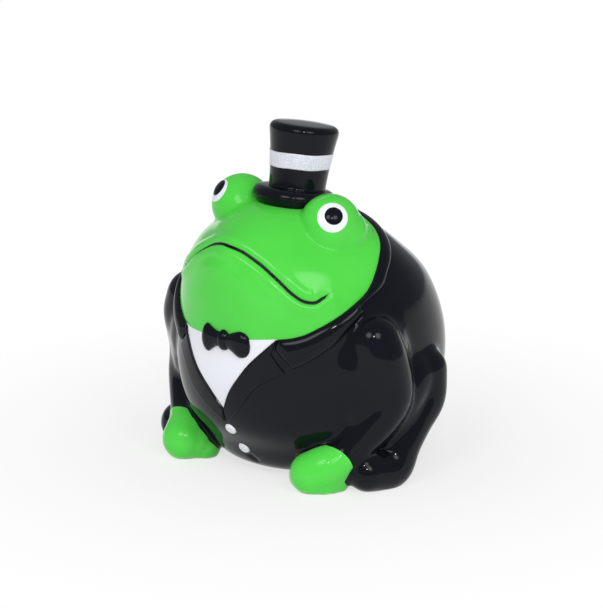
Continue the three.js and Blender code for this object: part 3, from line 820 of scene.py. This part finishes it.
@dataclass
class CoatCasting:
    """The black casting: torso, sleeves, legs and shoes run into each other under one glaze."""

    skin: Skin
    voxel: float = 0.93
    rounds: int = 34
    tuck: float = 1.6
    hand_room: float = 0.25
    hole_radius: float = 6.0
    hole_y: float = 6.0
    pocket_share: float = 0.1
    pocket_steps: tuple[float, ...] = (0, 0.25, 0.375, 0.5, 0.75, 1)
    pocket_heights: tuple[float, ...] = (0, 0, 4, 6, 16, 19)
    pocket_radius: float = 17.0
    trim_point: tuple[float, float, float] = (0, -50.6, 69.5)
    trim_way: tuple[float, float, float] = (0, -0.622, 1)
    lift: float = 0.02
    hem: tuple[tuple[float, float], ...] = ((0.5, 10.6), (1.8, 8.8), (3.6, 7.2), (5.6, 6.0))
    hem_depth: float = 0.8
    hem_width: float = 1.3
    hem_taper: int = 12

    def torso(self, shape: bmesh.types.BMesh) -> None:
        """Adds the torso, with the drain hole and the start of the hollow in its underside."""
        verts, share, angle = ball(shape, 220, 160)
        rise = np.clip((share - self.pocket_share) / (1 - self.pocket_share), 0, 1)
        places = self.skin.at(rise, angle)
        over = self.skin.above(self.skin.neck, places)
        places -= self.skin.out(rise, angle) * (self.tuck * smoothstep(over / 3))[:, None]
        inward = np.clip(1 - share / self.pocket_share, 0, 1)
        radii = [0, self.hole_radius, self.hole_radius, self.pocket_radius, self.pocket_radius, 0]
        radius = np.interp(inward, self.pocket_steps, radii)
        height = np.interp(inward, self.pocket_steps, self.pocket_heights)
        ring = np.column_stack([radius * np.cos(angle), self.hole_y + radius * np.sin(angle), height])
        hole = np.column_stack([
            self.hole_radius * np.cos(angle), self.hole_y + self.hole_radius * np.sin(angle), 0 * angle
        ])
        mouth = self.pocket_steps[1]
        flat = places + (hole - places) * np.clip(inward / mouth, 0, 1)[:, None]
        settle(verts, np.where((inward > mouth)[:, None], ring, flat))

    def build(self, shop: Workshop) -> None:
        """Makes the piece."""
        shape = bmesh.new()
        self.torso(shape)
        slice_off(shape, self.trim_point, self.trim_way)
        for side in Side:
            for limb in (ARMS[side], PALMS[side]):
                limb.add(shape, side, -self.hand_room)
            for limb in (SHOULDER, CHEST, LEGS[side], CALF):
                limb.add(shape, side)
        face_out(shape)
        shape = weld(shape, self.voxel, self.rounds)
        self.press_hem(shape)
        slice_off(shape, (0, 0, self.lift), (0, 0, -1))
        nodes = ["coat_base", "coat_front", "coat_back"]
        nodes += [f"{side}_{part}" for side in ("left", "right") for part in ("sleeve", "leg", "shoe")]
        shop.piece("coat_casting", shape, FOOTED_BLACK, nodes)

    def press_hem(self, shape: bmesh.types.BMesh) -> None:
        """Presses the short crease under the lower button where the coat's fronts part."""
        course = self.skin.from_front(Spline(self.hem).at(np.linspace(0, 1, 40)))
        tree = course_tree(course)
        shape.normal_update()
        for vert in shape.verts:
            _, i, off = tree.find(vert.co)
            if off < 4 * self.hem_width:
                ends = float(smoothstep(min(i, len(course) - 1 - i) / self.hem_taper))
                vert.co -= vert.normal * (self.hem_depth * ends * math.exp(-((off / self.hem_width) ** 2)))


@dataclass
class Hands:
    """The green hands, each cut off at the cuff by planes: a point's y and z, and the way out of it."""

    voxel: float = 0.5
    rounds: int = 36
    uneven: float = 0.8
    lift: float = 0.01
    cuts: tuple[tuple[tuple[float, float], tuple[float, float]], ...] = (
        ((-30.5, 19.7), (13.5, 6.2)),
        ((-30, 21.4), (3.6, 40)),
        ((-22.0, 0), (10, 3.4)),
    )

    def build(self, shop: Workshop) -> None:
        """Makes both pieces."""
        for side in Side:
            shape = bmesh.new()
            ARMS[side].add(shape, side)
            PALMS[side].add(shape, side)
            face_out(shape)
            shape = weld(shape, self.voxel, self.rounds)
            for (y, z), outward in self.cuts:
                slice_off(shape, (0, y, z + self.uneven * side.value), (0, *outward))
            slice_off(shape, (0, 0, self.lift), (0, 0, -1))
            name = side.name.lower() + "_hand"
            shop.piece(name, shape, FOOTED_GREEN, [name])


@dataclass
class Head:
    """The green head with its two eye mounds, and the mouth: a soft valley with a painted line in it."""

    skin: Skin
    voxel: float = 0.66
    rounds: int = 13
    tuck: float = 1.2
    trim_point: tuple[float, float, float] = (0, -50.6, 58.5)
    trim_way: tuple[float, float, float] = (0, 0.622, -1)
    mound_stretch: tuple[float, float] = (1.25, 1.0)
    brow: tuple[tuple[float, ...], ...] = ((26.4, -6.6, 105.0, 12.0), (28.0, -1.5, 100.5, 10.6))
    cheek: tuple[float, float] = (40.5, 84.0)
    cheek_radius: float = 10.0
    cheek_proud: float = 0.75
    mouth: tuple[tuple[float, float], ...] = (
        (-36.5, 86.5), (-34.0, 86.2), (-31.2, 88.0), (-27.5, 91.0), (-23.2, 94.8), (-16.8, 98.9),
        (-8.6, 103.0), (-1.2, 104.5), (6.3, 103.0), (11.3, 100.6), (16.5, 97.6), (23.3, 92.3),
        (29.5, 86.6), (33.3, 83.9), (36.5, 83.4), (38.3, 85.3), (39.5, 87.1),
    )
    fine_reach: float = 4.2
    valley_depth: float = 1.0
    valley_width: float = 1.0
    valley_taper: float = 0.035
    lip_height: float = 0.8
    lip_off: float = 3.2
    lip_width: float = 2.3
    lip_taper: tuple[float, float] = (0.05, 0.16)
    line_width: float = 0.4
    line_columns: int = 5
    line_taper: float = 0.06
    line_height: float = 0.035
    faded: tuple[float, float] = (0.13, 0.27)
    faded_width: float = 0.06

    def mouth_points(self) -> np.ndarray:
        """The mouth's course on the skin from the right corner to the left one."""
        outline = Spline(self.mouth).at(np.linspace(0, 1, 400))
        return even(self.skin.from_front(outline), 360)

    def build(self, shop: Workshop) -> BVHTree:
        """Makes the head and the mouth's painted line.

        Args:
            shop: where the pieces are made.

        Returns:
            The head's surface, for what is laid on it.
        """
        shape = bmesh.new()
        verts, share, angle = ball(shape, 200, 150)
        places = self.skin.at(share, angle)
        under = -self.skin.above(self.skin.neck, places)
        places -= self.skin.out(share, angle) * (self.tuck * smoothstep(under / 3))[:, None]
        settle(verts, places)
        slice_off(shape, self.trim_point, self.trim_way)
        for side, stretch in zip(Side, self.mound_stretch):
            verts, _, _ = ball(shape, 48, 32)
            places = coordinates(verts) * EYE_MOUND_RADIUS
            places[:, 2] *= np.where(places[:, 2] < 0, stretch, 1)
            settle(verts, places + np.array(EYE_MOUND) * [side.value, 1, 1])
            for *place, radius in self.brow:
                add_ball(shape, place, radius, side)
            point, normal = self.skin.nearest(self.skin.from_front(np.array([self.cheek])))
            centre = point[0] - normal[0] * (self.cheek_radius - self.cheek_proud)
            add_ball(shape, centre, self.cheek_radius, side)
        face_out(shape)
        shape = weld(shape, self.voxel, self.rounds)
        self.carve_mouth(shape)
        surface = BVHTree.FromBMesh(shape)
        shop.piece("head", shape, GREEN, ["head"])
        self.paint_mouth(shop, surface)
        return surface

    def carve_mouth(self, shape: bmesh.types.BMesh) -> None:
        """Presses the mouth into the skin and rolls the lips up beside it."""
        course = self.mouth_points()
        tree = course_tree(course)
        near = [edge for edge in shape.edges if tree.find(edge.verts[0].co)[2] < self.fine_reach]
        bmesh.ops.subdivide_edges(shape, edges=near, cuts=1, use_grid_fill=True)
        shape.normal_update()
        found = [tree.find(vert.co) for vert in shape.verts]
        off = np.array([hit[2] for hit in found])
        share = np.array([hit[1] for hit in found]) / (len(course) - 1)
        taper = smoothstep(np.minimum(share, 1 - share) / self.valley_taper)
        valley = -self.valley_depth * np.exp(-((off / self.valley_width) ** 2))
        lips = self.lip_height * np.exp(-(((off - self.lip_off) / self.lip_width) ** 2))
        lips *= smoothstep(np.minimum(share / self.lip_taper[0], (1 - share) / self.lip_taper[1]))
        move = (valley + lips) * taper
        for vert, amount in zip(shape.verts, move):
            if abs(amount) > 1e-4:
                vert.co += vert.normal * float(amount)

    def paint_mouth(self, shop: Workshop, surface: BVHTree) -> None:
        """Lays the painted line along the bottom of the valley."""
        course = self.mouth_points()
        shape, row, across = flat_sheet(len(course), self.line_columns)
        ahead = unit(np.gradient(course, axis=0))
        _, normals = self.skin.nearest(course)
        sideways = unit(np.cross(normals, ahead))
        share = row / (len(course) - 1)
        ends = np.clip(np.minimum(share, 1 - share) / self.line_taper, 0.02, 1)
        worn = smoothstep(np.abs(share - sum(self.faded) / 2) / (self.faded[1] - self.faded[0]) * 4 - 1)
        width = self.line_width / 2 * np.sqrt(ends) * (0.85 + 0.25 * np.sin(share * 23) ** 2)
        width = width * (self.faded_width + (1 - self.faded_width) * worn)
        places = course[row] + sideways[row] * (across * width)[:, None]
        laid = []
        for place in places:
            point, normal, _, _ = surface.find_nearest(Vector(place))
            laid.append(point + normal * self.line_height)
        settle(shape.verts, np.array(laid))
        face_out(shape)
        shop.piece("mouth_line", shape, BLACK, [])


# The chest: shirt, lapels and collar


@dataclass
class Panel:
    """A low relief between two rails on the skin, rounded towards its edges, which dip into the body.

    The first rail's rounding and the second's are shares of the width, each at most its own limit.
    """

    skin: Skin
    proud: float
    limits: tuple[float, float]
    share: float = 0.48
    sink: float = 0.7
    wall: float = 0.5
    columns: int = 22
    start_rounding: tuple[float, float] = (0.9, 0.9)
    end_rounding: tuple[float, float] = (0.9, 0.9)

    def shape(
        self, rail_a: np.ndarray, rail_b: np.ndarray, swell: np.ndarray | float = 1.0
    ) -> bmesh.types.BMesh:
        """Makes the relief.

        Args:
            rail_a: points of one long edge.
            rail_b: as many points of the other.
            swell: factor on the height at each pair of points.

        Returns:
            A closed bmesh.
        """
        rows = len(rail_a)
        shape, row, flat = flat_sheet(rows, self.columns)
        across = 0.5 - 0.5 * np.cos((flat + 1) / 2 * math.pi)
        width = np.maximum(np.linalg.norm(rail_b - rail_a, axis=1), 0.2)[row]
        places = rail_a[row] + (rail_b[row] - rail_a[row]) * across[:, None]
        middle = (rail_a + rail_b) / 2
        run = np.r_[0, np.cumsum(np.linalg.norm(np.diff(middle, axis=0), axis=1))]
        height = self.roll(across * width, np.minimum(self.limits[0], self.share * width))
        height = height * self.roll((1 - across) * width, np.minimum(self.limits[1], self.share * width))
        for ends, reach in ((self.start_rounding, run[row]), (self.end_rounding, run[-1] - run[row])):
            height = height * self.roll(reach, ends[0] + (ends[1] - ends[0]) * across)
        proud = self.proud * np.broadcast_to(swell, rows)[row]
        points, normals = self.skin.nearest(places)
        settle(shape.verts, points + normals * (height * (proud + self.sink) - self.sink)[:, None])
        outward = shape.verts.layers.float_vector.new("outward")
        for vert, normal in zip(shape.verts, normals):
            vert[outward] = normal
        grown = bmesh.ops.extrude_face_region(shape, geom=shape.faces[:] + shape.edges[:] + shape.verts[:])
        for vert in grown["geom"]:
            if isinstance(vert, bmesh.types.BMVert):
                vert.co -= vert[outward] * self.wall
        face_out(shape)
        return shape

    def roll(self, edge: np.ndarray, rounding: np.ndarray | float) -> np.ndarray:
        """0 at an edge rising in a quarter round to 1; a rounding of nothing leaves it square."""
        t = np.clip((edge + 1e-9) / np.maximum(rounding, 1e-9), 0, 1)
        return np.sqrt(1 - (1 - t) ** 2)


@dataclass
class EveningDress:
    """The shirt front, the two lapels and the collar, as low reliefs on the chest."""

    skin: Skin
    shirt_left: tuple = ((26, 69.5), (18.4, 61.7), (12.3, 55.3), (7.1, 48.3), (2.3, 41.1), (-1.2, 33.4))
    shirt_right: tuple = ((-25.6, 67), (-24.2, 62), (-20.9, 55.6), (-16.1, 49.1), (-8.2, 41.3), (-1.2, 33.4))
    lapel_left: tuple = ((-0.6, 26), (7.5, 34.4), (14.8, 43.9), (21.3, 49.2), (27.9, 53.2))
    lapel_right: tuple = ((-1.8, 26), (-5.7, 28.4), (-12.3, 32.4), (-20, 38.6), (-25.2, 46.5), (-30.6, 53.4))
    notch_left: tuple = ((22.2, 60.8), (26.5, 72))
    notch_right: tuple = ((-25.2, 59.6), (-28.5, 72))
    leaf_front: tuple = ((22.9, 63.2), (30.4, 54.6))
    leaf_under: tuple = (
        (30.4, 54.6), (35.6, 57.9), (39.4, 61.2), (43.0, 64.9), (45.7, 70.0), (47.7, 74.7), (48.3, 78),
    )
    shirt_under: float = 1.0
    shirt_proud: float = 0.22
    lapel_proud: float = 1.0
    collar_proud: float = 2.7
    collar_back: float = 0.45

    def outline(self, points: Sequence[tuple[float, float]], count: int) -> np.ndarray:
        """A smooth front outline laid on the skin, read at even steps."""
        return even(self.skin.from_front(Spline(tuple(points)).at(np.linspace(0, 1, 120))), count)

    def straight(self, points: Sequence[tuple[float, float]], count: int) -> np.ndarray:
        """A front outline of straight runs laid on the skin, read at even steps."""
        flat = even(np.array(points, float), 60)
        return even(self.skin.from_front(flat), count)

    def build(self, shop: Workshop) -> None:
        """Makes the four pieces."""
        self.shirt(shop)
        self.lapel(shop, "left_lapel", self.shirt_left, self.lapel_left, self.notch_left)
        self.lapel(shop, "right_lapel", self.shirt_right, self.lapel_right, self.notch_right)
        self.collar(shop)

    def below_neck(self, points: np.ndarray, count: int) -> np.ndarray:
        """The start of a course, up to where it first crosses the neck line, read at even steps."""
        over = self.skin.above(self.skin.neck, points)
        crossed = np.flatnonzero(over > 0)
        if not len(crossed):
            return even(points, count)
        i = max(int(crossed[0]), 1)
        t = over[i - 1] / (over[i - 1] - over[i])
        return even(np.vstack([points[:i], points[i - 1] * (1 - t) + points[i] * t]), count)

    def shirt(self, shop: Workshop) -> None:
        """The white front: a shallow panel from the neck line to the point of the V."""
        under = self.shirt_under
        right = [(x - under, z) for x, z in self.shirt_right]
        left = [(x + under, z) for x, z in self.shirt_left]
        right[-1] = left[-1] = (self.shirt_left[-1][0], self.shirt_left[-1][1] - under)
        low = np.vstack([self.outline(right, 70), self.outline(left[::-1], 71)[1:]])
        high = self.skin.along(self.skin.neck, np.arctan2(low[:, 1] - self.skin.middle, low[:, 0]))
        keep = self.skin.above(self.skin.neck, low) < -0.2
        panel = Panel(self.skin, self.shirt_proud, (0.35, 0.01), sink=0.5, columns=60,
                      start_rounding=(0, 0), end_rounding=(0, 0))
        shop.piece("shirt_front", panel.shape(low[keep], high[keep]), WHITE, ["shirt_front"])

    def lapel(self, shop: Workshop, name: str, inner: tuple, outer: tuple, notch: tuple) -> None:
        """One lapel: from the button point up to the notch, then narrow up to the neck line."""
        long, short = 90, 16
        course = [*inner[::-1], (inner[0][0] * 1.2, inner[0][1] + 6)]
        inner_edge = self.below_neck(self.outline(course, 300), 300)
        outer_parts = [self.outline(outer, long), self.straight([outer[-1], notch[0]], short)]
        outer_parts.append(self.below_neck(self.straight(list(notch), 60), short))
        notch_height = outer_parts[1][-1][2]
        heights = (notch_height - 2.4, notch_height + 0.4)
        low, high = (int(np.argmin(np.abs(inner_edge[:, 2] - z))) for z in heights)
        inner_parts = [inner_edge[: low + 1], inner_edge[low : high + 1], inner_edge[high:]]
        inner_parts = [even(part, count) for part, count in zip(inner_parts, (long, short, short))]
        rails = [np.vstack([parts[0], parts[1][1:], parts[2][1:]]) for parts in (inner_parts, outer_parts)]
        panel = Panel(self.skin, self.lapel_proud, (0.9, 0.9), end_rounding=(0, 0))
        shop.piece(name, panel.shape(*rails), BLACK, [name])

    def half_collar(self, side: Side) -> tuple[np.ndarray, np.ndarray]:
        """Upper and lower rails of one half of the collar, from its leaf to the middle of the back."""
        flip = np.array([side.value, 1])
        lower_start = self.outline([tuple(point) for point in np.array(self.leaf_under) * flip], 60)
        gorge = np.array([self.leaf_front[0], self.notch_left[1]]) * flip
        upper_start = self.below_neck(self.straight([tuple(point) for point in gorge], 60), 16)
        rails = []
        for start, line in ((upper_start, self.skin.neck), (lower_start, self.skin.collar)):
            angle = math.atan2(start[-1][1] - self.skin.middle, start[-1][0])
            if side is Side.RIGHT and angle < 0:
                angle += 2 * math.pi
            round_neck = self.skin.along(line, np.linspace(angle, math.pi / 2, 240))
            rails.append(even(np.vstack([start[:-1], round_neck]), 160))
        return rails[0], rails[1]

    def collar(self, shop: Workshop) -> None:
        """The collar: two leaves with a notch under each, joined round the back of the neck."""
        upper_left, lower_left = self.half_collar(Side.LEFT)
        upper_right, lower_right = self.half_collar(Side.RIGHT)
        upper = np.vstack([upper_left, upper_right[::-1][1:]])
        lower = np.vstack([lower_left, lower_right[::-1][1:]])
        share = np.abs(np.linspace(-1, 1, len(upper)))
        swell = self.collar_back + (1 - self.collar_back) * smoothstep((share - 0.35) / 0.4)
        panel = Panel(self.skin, self.collar_proud, (9, 9), share=0.6, columns=34,
                      start_rounding=(7, 0.9), end_rounding=(7, 0.9))
        shop.piece("collar", panel.shape(upper, lower, swell), BLACK, ["collar"])


# Eyes, bow tie and buttons


@dataclass
class Eye:
    """A white disc let into an eye mound, with a domed black pupil."""

    side: Side
    out: float
    up: float
    glance: tuple[float, float]
    white_radius: float = 6.6
    white_proud: float = 0.16
    pupil_radius: float = 3.9
    pupil_proud: float = 0.26
    pupil_crown: float = 0.45
    rim_from: float = 0.94
    rim_share: float = 0.06
    rim_sink: float = 0.5
    depth: float = 2.0

    def frame(self, out: float, up: float) -> Matrix:
        """The mound's frame with +Z turned outwards and upwards by two angles in degrees."""
        gaze = direction(out * self.side.value, up)
        centre = Vector((EYE_MOUND[0] * self.side.value, *EYE_MOUND[1:]))
        return Matrix.Translation(centre) @ Vector((0, 0, 1)).rotation_difference(gaze).to_matrix().to_4x4()

    def cap(self, rim: float, proud: float, crown: float) -> list[tuple[float, float]]:
        """Profile of a disc that follows the mound.

        Args:
            rim: the disc's radius.
            proud: its height over the mound at the rim.
            crown: how much higher it is in the middle.

        Returns:
            Points as radius and height, from axis to axis.
        """
        widest = math.asin(rim / EYE_MOUND_RADIUS)
        low = EYE_MOUND_RADIUS - self.rim_sink
        points = []
        for t in np.linspace(0, 1, 24):
            angle = widest * t
            edge = math.sqrt(max(0.0, 1 - max(0.0, (t - self.rim_from) / self.rim_share) ** 2))
            radius = low + (self.rim_sink + proud) * edge + crown * (1 - t**2) ** 0.8
            points.append((radius * math.sin(angle), radius * math.cos(angle)))
        inner = (EYE_MOUND_RADIUS - self.depth) * math.cos(widest)
        return points + [(rim * 0.9, inner), (0.0, inner)]

    def build(self, shop: Workshop) -> None:
        """Makes the white and the pupil."""
        name = self.side.name.lower()
        white = turned(self.cap(self.white_radius, self.white_proud, 0.0), 96)
        put(white, self.frame(self.out, self.up))
        shop.piece(name + "_eye_white", white, WHITE, [name + "_eye_white"])
        pupil = turned(self.cap(self.pupil_radius, self.pupil_proud, self.pupil_crown), 80)
        put(pupil, self.frame(self.out + self.glance[0], self.up + self.glance[1]))
        shop.piece(name + "_pupil", pupil, BLACK, [name + "_pupil"])


@dataclass
class BowTie:
    """A puffed bow tie: a round knot, a round wing towards the frog's left and a flared one to its right.

    A wing's outline gives its half height at each distance from the knot's middle.
    """

    skin: Skin
    centre: tuple[float, float] = (0.3, 63.8)
    knot: tuple[float, float, float] = (3.3, 4.6, 3.4)
    left_wing: tuple[tuple[float, float], ...] = (
        (1.4, 0), (1.6, 2.2), (2.6, 3.0), (5.2, 4.4), (8.4, 5.75), (11.0, 5.1), (12.6, 3.0), (13.1, 0),
    )
    right_wing: tuple[tuple[float, float], ...] = (
        (1.4, 0), (1.6, 2.2), (2.6, 3.1), (4.4, 3.6), (6.9, 5.0), (9.1, 6.2), (10.6, 5.4), (11.3, 2.6),
        (11.4, 0),
    )
    bend: float = 0.0105
    sag: float = 0.6
    puff: float = 0.34
    flat: float = 1.0

    def wing(self, outline: tuple[tuple[float, float], ...], side: Side) -> bmesh.types.BMesh:
        """One wing, in the chest frame.

        Args:
            outline: its distances and half heights.
            side: the side that it goes to.

        Returns:
            A closed bmesh.
        """
        shape = bmesh.new()
        verts, share, turn = ball(shape, 48, 60)
        profile = Spline(outline).at(share)
        half = np.maximum(profile[:, 1], 0)
        end = np.clip(half / 2.2, 0, 1) ** 0.5
        thick = (self.flat + self.puff * half) * end
        x = profile[:, 0] * side.value
        y = half * np.cos(turn) - self.sag * smoothstep((profile[:, 0] - 3) / 6)
        z = 0.5 + thick * np.sin(turn) - self.bend * x**2
        settle(verts, np.column_stack([x, y, z]))
        face_out(shape)
        return shape

    def build(self, shop: Workshop) -> None:
        """Makes the knot and the wings."""
        place = self.skin.chest_frame(*self.centre)
        knot = bmesh.new()
        verts, _, _ = ball(knot, 48, 32)
        settle(verts, coordinates(verts) * np.array(self.knot))
        face_out(knot)
        shapes = {
            "bow_tie_knot": knot,
            "bow_tie_left_wing": self.wing(self.left_wing, Side.LEFT),
            "bow_tie_right_wing": self.wing(self.right_wing, Side.RIGHT),
        }
        for name, shape in shapes.items():
            put(shape, place)
            shop.piece(name, shape, BLACK, [name])


@dataclass
class Buttons:
    """Two low white buttons under the point of the shirt."""

    skin: Skin
    places: tuple[tuple[str, float, float], ...] = (("upper_button", -0.8, 22.9), ("lower_button", 0.2, 12.7))
    radius: float = 2.7
    height: float = 0.85
    sink: float = 1.2

    def build(self, shop: Workshop) -> None:
        """Makes both buttons."""
        for name, x, z in self.places:
            corners = [(0, self.height, 0), (self.radius * 0.8, self.height * 0.86, 0.8)]
            corners += [(self.radius, 0.1, 0.5), (self.radius, -self.sink, 0), (0, -self.sink, 0)]
            shape = turned(filleted(corners), 64)
            put(shape, self.skin.chest_frame(x, z))
            shop.piece(name, shape, WHITE, [name])


# Top hat


@dataclass
class TopHat:
    """The top hat: flared crown, thick round brim, painted band; it leans back on the head."""

    seat: tuple[float, float, float] = (0.0, -2.9, 119.71)
    lean_back: float = 11.2
    height: float = 27.0
    base_radius: float = 12.0
    top_radius: float = 15.3
    brim_radius: float = 18.0
    brim_thickness: float = 4.2
    brim_forward: float = 1.5
    brim_edge: float = 0.85
    seat_radius: float = 13.6
    seat_depth: float = 11.0
    hollow: float = 0.5
    side_span: tuple[float, float] = (1.6, 3.4)
    top_fillet: float = 2.8
    top_dome: float = 0.35
    band_low: float = 8.7
    band_high: float = 15.3
    band_proud: float = 0.14
    band_sink: float = 0.6
    band_slope: float = 0.03
    band_wobble: float = 0.12

    def radius_at(self, height: float) -> float:
        """The crown's radius at a height over the brim, with a slightly hollow side."""
        t = height / self.height
        flare = self.top_radius - self.base_radius
        return self.base_radius + flare * t - self.hollow * math.sin(t * math.pi)

    def frame(self) -> Matrix:
        """The hat's own frame: origin where the crown meets the brim."""
        return Matrix.Translation(self.seat) @ Matrix.Rotation(math.radians(-self.lean_back), 4, "X")

    def crown(self) -> bmesh.types.BMesh:
        """The crown: a flared side with a soft upper edge and a slightly domed top."""
        heights = np.linspace(self.side_span[0], self.height - self.side_span[1], 18)
        side = [(self.radius_at(height), float(height), 0.0) for height in heights]
        foot = [(0, -1, 0), (self.base_radius + 2.2, -0.9, 0), (self.radius_at(0) + 0.1, 0.0, 1.2)]
        top = [
            (self.top_radius, self.height, self.top_fillet),
            (self.top_radius - 7, self.height + 0.25, 3),
            (0, self.height + self.top_dome, 0),
        ]
        return turned(filleted([*foot, *side, *top]), 128)

    def brim(self) -> bmesh.types.BMesh:
        """The thick round brim, with the seat that stands in the head."""
        corners = [
            (0, -self.seat_depth, 0),
            (self.seat_radius, -self.seat_depth, 0),
            (self.brim_radius - 0.5, -self.brim_thickness + 0.1, 1.2),
            (self.brim_radius, -0.3, self.brim_thickness * self.brim_edge),
            (self.base_radius + 0.4, 0.1, 0.6),
            (0, 0.1, 0),
        ]
        shape = turned(filleted(corners, 12), 128)
        bmesh.ops.translate(shape, vec=(0, -self.brim_forward, 0), verts=shape.verts[:])
        return shape

    def band(self) -> bmesh.types.BMesh:
        """The painted band: a thin ring round the crown, a little askew and uneven at its edges."""
        rows = np.linspace(self.band_low, self.band_high, 14)
        outer = [(self.radius_at(row) + self.band_proud, float(row)) for row in rows]
        inner = [(self.radius_at(row) - self.band_sink, row) for row in (self.band_high, self.band_low)]
        shape = turned([*outer, *inner, outer[0]], 192)
        for vert in shape.verts:
            turn = math.atan2(vert.co.y, vert.co.x)
            vert.co.z += self.band_slope * (vert.co.x + vert.co.y) + self.band_wobble * math.sin(5 * turn + 1)
        return shape

    def build(self, shop: Workshop) -> None:
        """Makes the crown, the brim and the band."""
        makers = {"crown": (self.crown, BLACK), "brim": (self.brim, BLACK), "band": (self.band, SILVER)}
        for part, (make, glaze) in makers.items():
            name, shape = "hat_" + part, make()
            put(shape, self.frame())
            shop.piece(name, shape, glaze, [name])


# Studio


@dataclass
class Lamp:
    """A round lamp that faces the figure; its screens are sizes relative to its own."""

    name: str
    azimuth: float
    elevation: float
    distance: float
    size: float
    power: float
    screens: tuple[float, ...] = (1.0,)


@dataclass
class Studio:
    """Camera, plain pale floor, soft lamps and the quiet room round them."""

    target: tuple[float, float, float] = (0.0, FOOT_SHIFT, 67.2)
    azimuth: float = 40.0
    elevation: float = 17.5
    distance: float = 2.0
    lens: float = 278.65
    sensor: float = 36.0
    lamps: tuple[Lamp, ...] = (
        Lamp("left_softbox", 16.0, 38.0, 1.2, 0.46, 2.75, (0.7, 0.85, 1.0, 1.15, 1.3)),
        Lamp("right_softbox", 64.0, 36.0, 1.2, 0.46, 2.75, (0.7, 0.85, 1.0, 1.15, 1.3)),
        Lamp("flash", 43.0, 33.0, 1.9, 0.12, 3.6),
    )
    lamp_aim: tuple[float, float, float] = (0, 0, 0.07)
    screen_step: float = 0.02
    ambient: float = 0.58
    surround: tuple[float, float, float, float] = (0.32, 0.33, 0.35, 1.0)
    fade: tuple[float, float] = (0.08, 0.2)
    near_white: float = 0.7
    far_fade: tuple[float, float] = (0.85, 3.0)
    paper: float = 0.93
    floor_radius: float = 6.0

    def camera(self) -> None:
        """Makes the camera at the photograph's angle."""
        data = bpy.data.cameras.new("camera")
        data.lens, data.sensor_width = self.lens, self.sensor
        data.clip_start, data.clip_end = 0.05, 30
        camera = bpy.data.objects.new("camera", data)
        back = direction(self.azimuth, self.elevation)
        camera.location = Vector(self.target) * MM + back * self.distance
        camera.rotation_mode = "QUATERNION"
        camera.rotation_quaternion = (-back).to_track_quat("-Z", "Y")
        bpy.context.scene.collection.objects.link(camera)
        bpy.context.scene.camera = camera

    def light(self) -> None:
        """Makes the lamps, each a stack of round screens that share its power, so that its edge is soft."""
        for lamp in self.lamps:
            for screen in lamp.screens:
                data = bpy.data.lights.new(lamp.name, "AREA")
                data.shape = "DISK"
                data.size = lamp.size * screen
                data.energy = lamp.power * screen**2 / sum(other**2 for other in lamp.screens)
                made = bpy.data.objects.new(lamp.name, data)
                way = direction(lamp.azimuth, lamp.elevation)
                made.location = Vector(self.lamp_aim) + way * (lamp.distance + self.screen_step * screen)
                made.rotation_mode = "QUATERNION"
                made.rotation_quaternion = (-way).to_track_quat("-Z", "Y")
                bpy.context.scene.collection.objects.link(made)

    def seen(self, desk: Desk) -> Signal:
        """1 where the camera looks straight, in a reflection or through glass."""
        path = desk.node("ShaderNodeLightPath", {}, {})
        names = ("Is Camera Ray", "Is Glossy Ray", "Is Transmission Ray")
        camera, glossy, through = (Signal(desk, path.outputs[name]) for name in names)
        return (camera + glossy + through).up_to(1.0)

    def world(self) -> None:
        """Soft even light all round, and a quiet grey room where the camera or a reflection sees it."""
        world = bpy.data.worlds.new("studio")
        bpy.context.scene.world = world
        world.use_nodes = True
        desk = Desk(world.node_tree)
        light = (self.ambient, self.ambient, self.ambient, 1.0)
        colour = desk.mix(self.seen(desk), light, self.surround)
        room = desk.node("ShaderNodeBackground", {}, {"Color": colour, "Strength": 1.0})
        desk.node("ShaderNodeOutputWorld", {}, {"Surface": room.outputs[0]})

    def floor(self) -> None:
        """A plain white floor that keeps the figure's shadow and runs out into the room's grey."""
        shape = bmesh.new()
        bmesh.ops.create_circle(shape, cap_ends=True, segments=96, radius=self.floor_radius)
        mesh = bpy.data.meshes.new("floor")
        shape.to_mesh(mesh)
        shape.free()
        made = bpy.data.materials.new("floor_paper")
        made.use_nodes = True
        desk = Desk(made.node_tree)
        where = desk.node("ShaderNodeTexCoord", {}, {}).outputs["Object"]
        far = desk.add("ShaderNodeVectorMath", {"operation": "LENGTH"}, {0: where}, "Value")
        share = self.seen(desk) * (far.spread(*self.fade) * (1 - self.near_white) + self.near_white)
        tone = desk.mix(far.spread(*self.far_fade), (1, 1, 1, 1), self.surround)
        paper = desk.node("ShaderNodeBsdfDiffuse", {}, {"Color": (self.paper, self.paper, self.paper, 1)})
        glow = desk.node("ShaderNodeEmission", {}, {"Color": tone, "Strength": 1.0})
        mixed = desk.node("ShaderNodeMixShader", {}, {0: share, 1: paper.outputs[0], 2: glow.outputs[0]})
        desk.node("ShaderNodeOutputMaterial", {}, {"Surface": mixed.outputs[0]})
        mesh.materials.append(made)
        floor = bpy.data.objects.new("floor", mesh)
        bpy.context.scene.collection.objects.link(floor)

    def build(self) -> None:
        """Sets up everything round the figure."""
        self.light()
        self.world()
        self.floor()
        bpy.context.scene.view_settings.view_transform = "Standard"


def main() -> None:
    """Builds the studio and the figure's pieces in order."""
    logging.basicConfig(level=logging.INFO, format="%(message)s")
    studio = Studio()
    studio.camera()
    shop = Workshop()
    skin = Skin()
    builders: list[Callable[[Workshop], object]] = [
        CoatCasting(skin).build,
        Hands().build,
        Head(skin).build,
        EveningDress(skin).build,
        Eye(Side.LEFT, 45, 31, (2.4, 1.6)).build,
        Eye(Side.RIGHT, 32, 34, (3.0, 4.0), 5.5).build,
        BowTie(skin).build,
        Buttons(skin).build,
        TopHat().build,
    ]
    for build in builders:
        build(shop)
    studio.build()


if __name__ == "__main__":
    main()
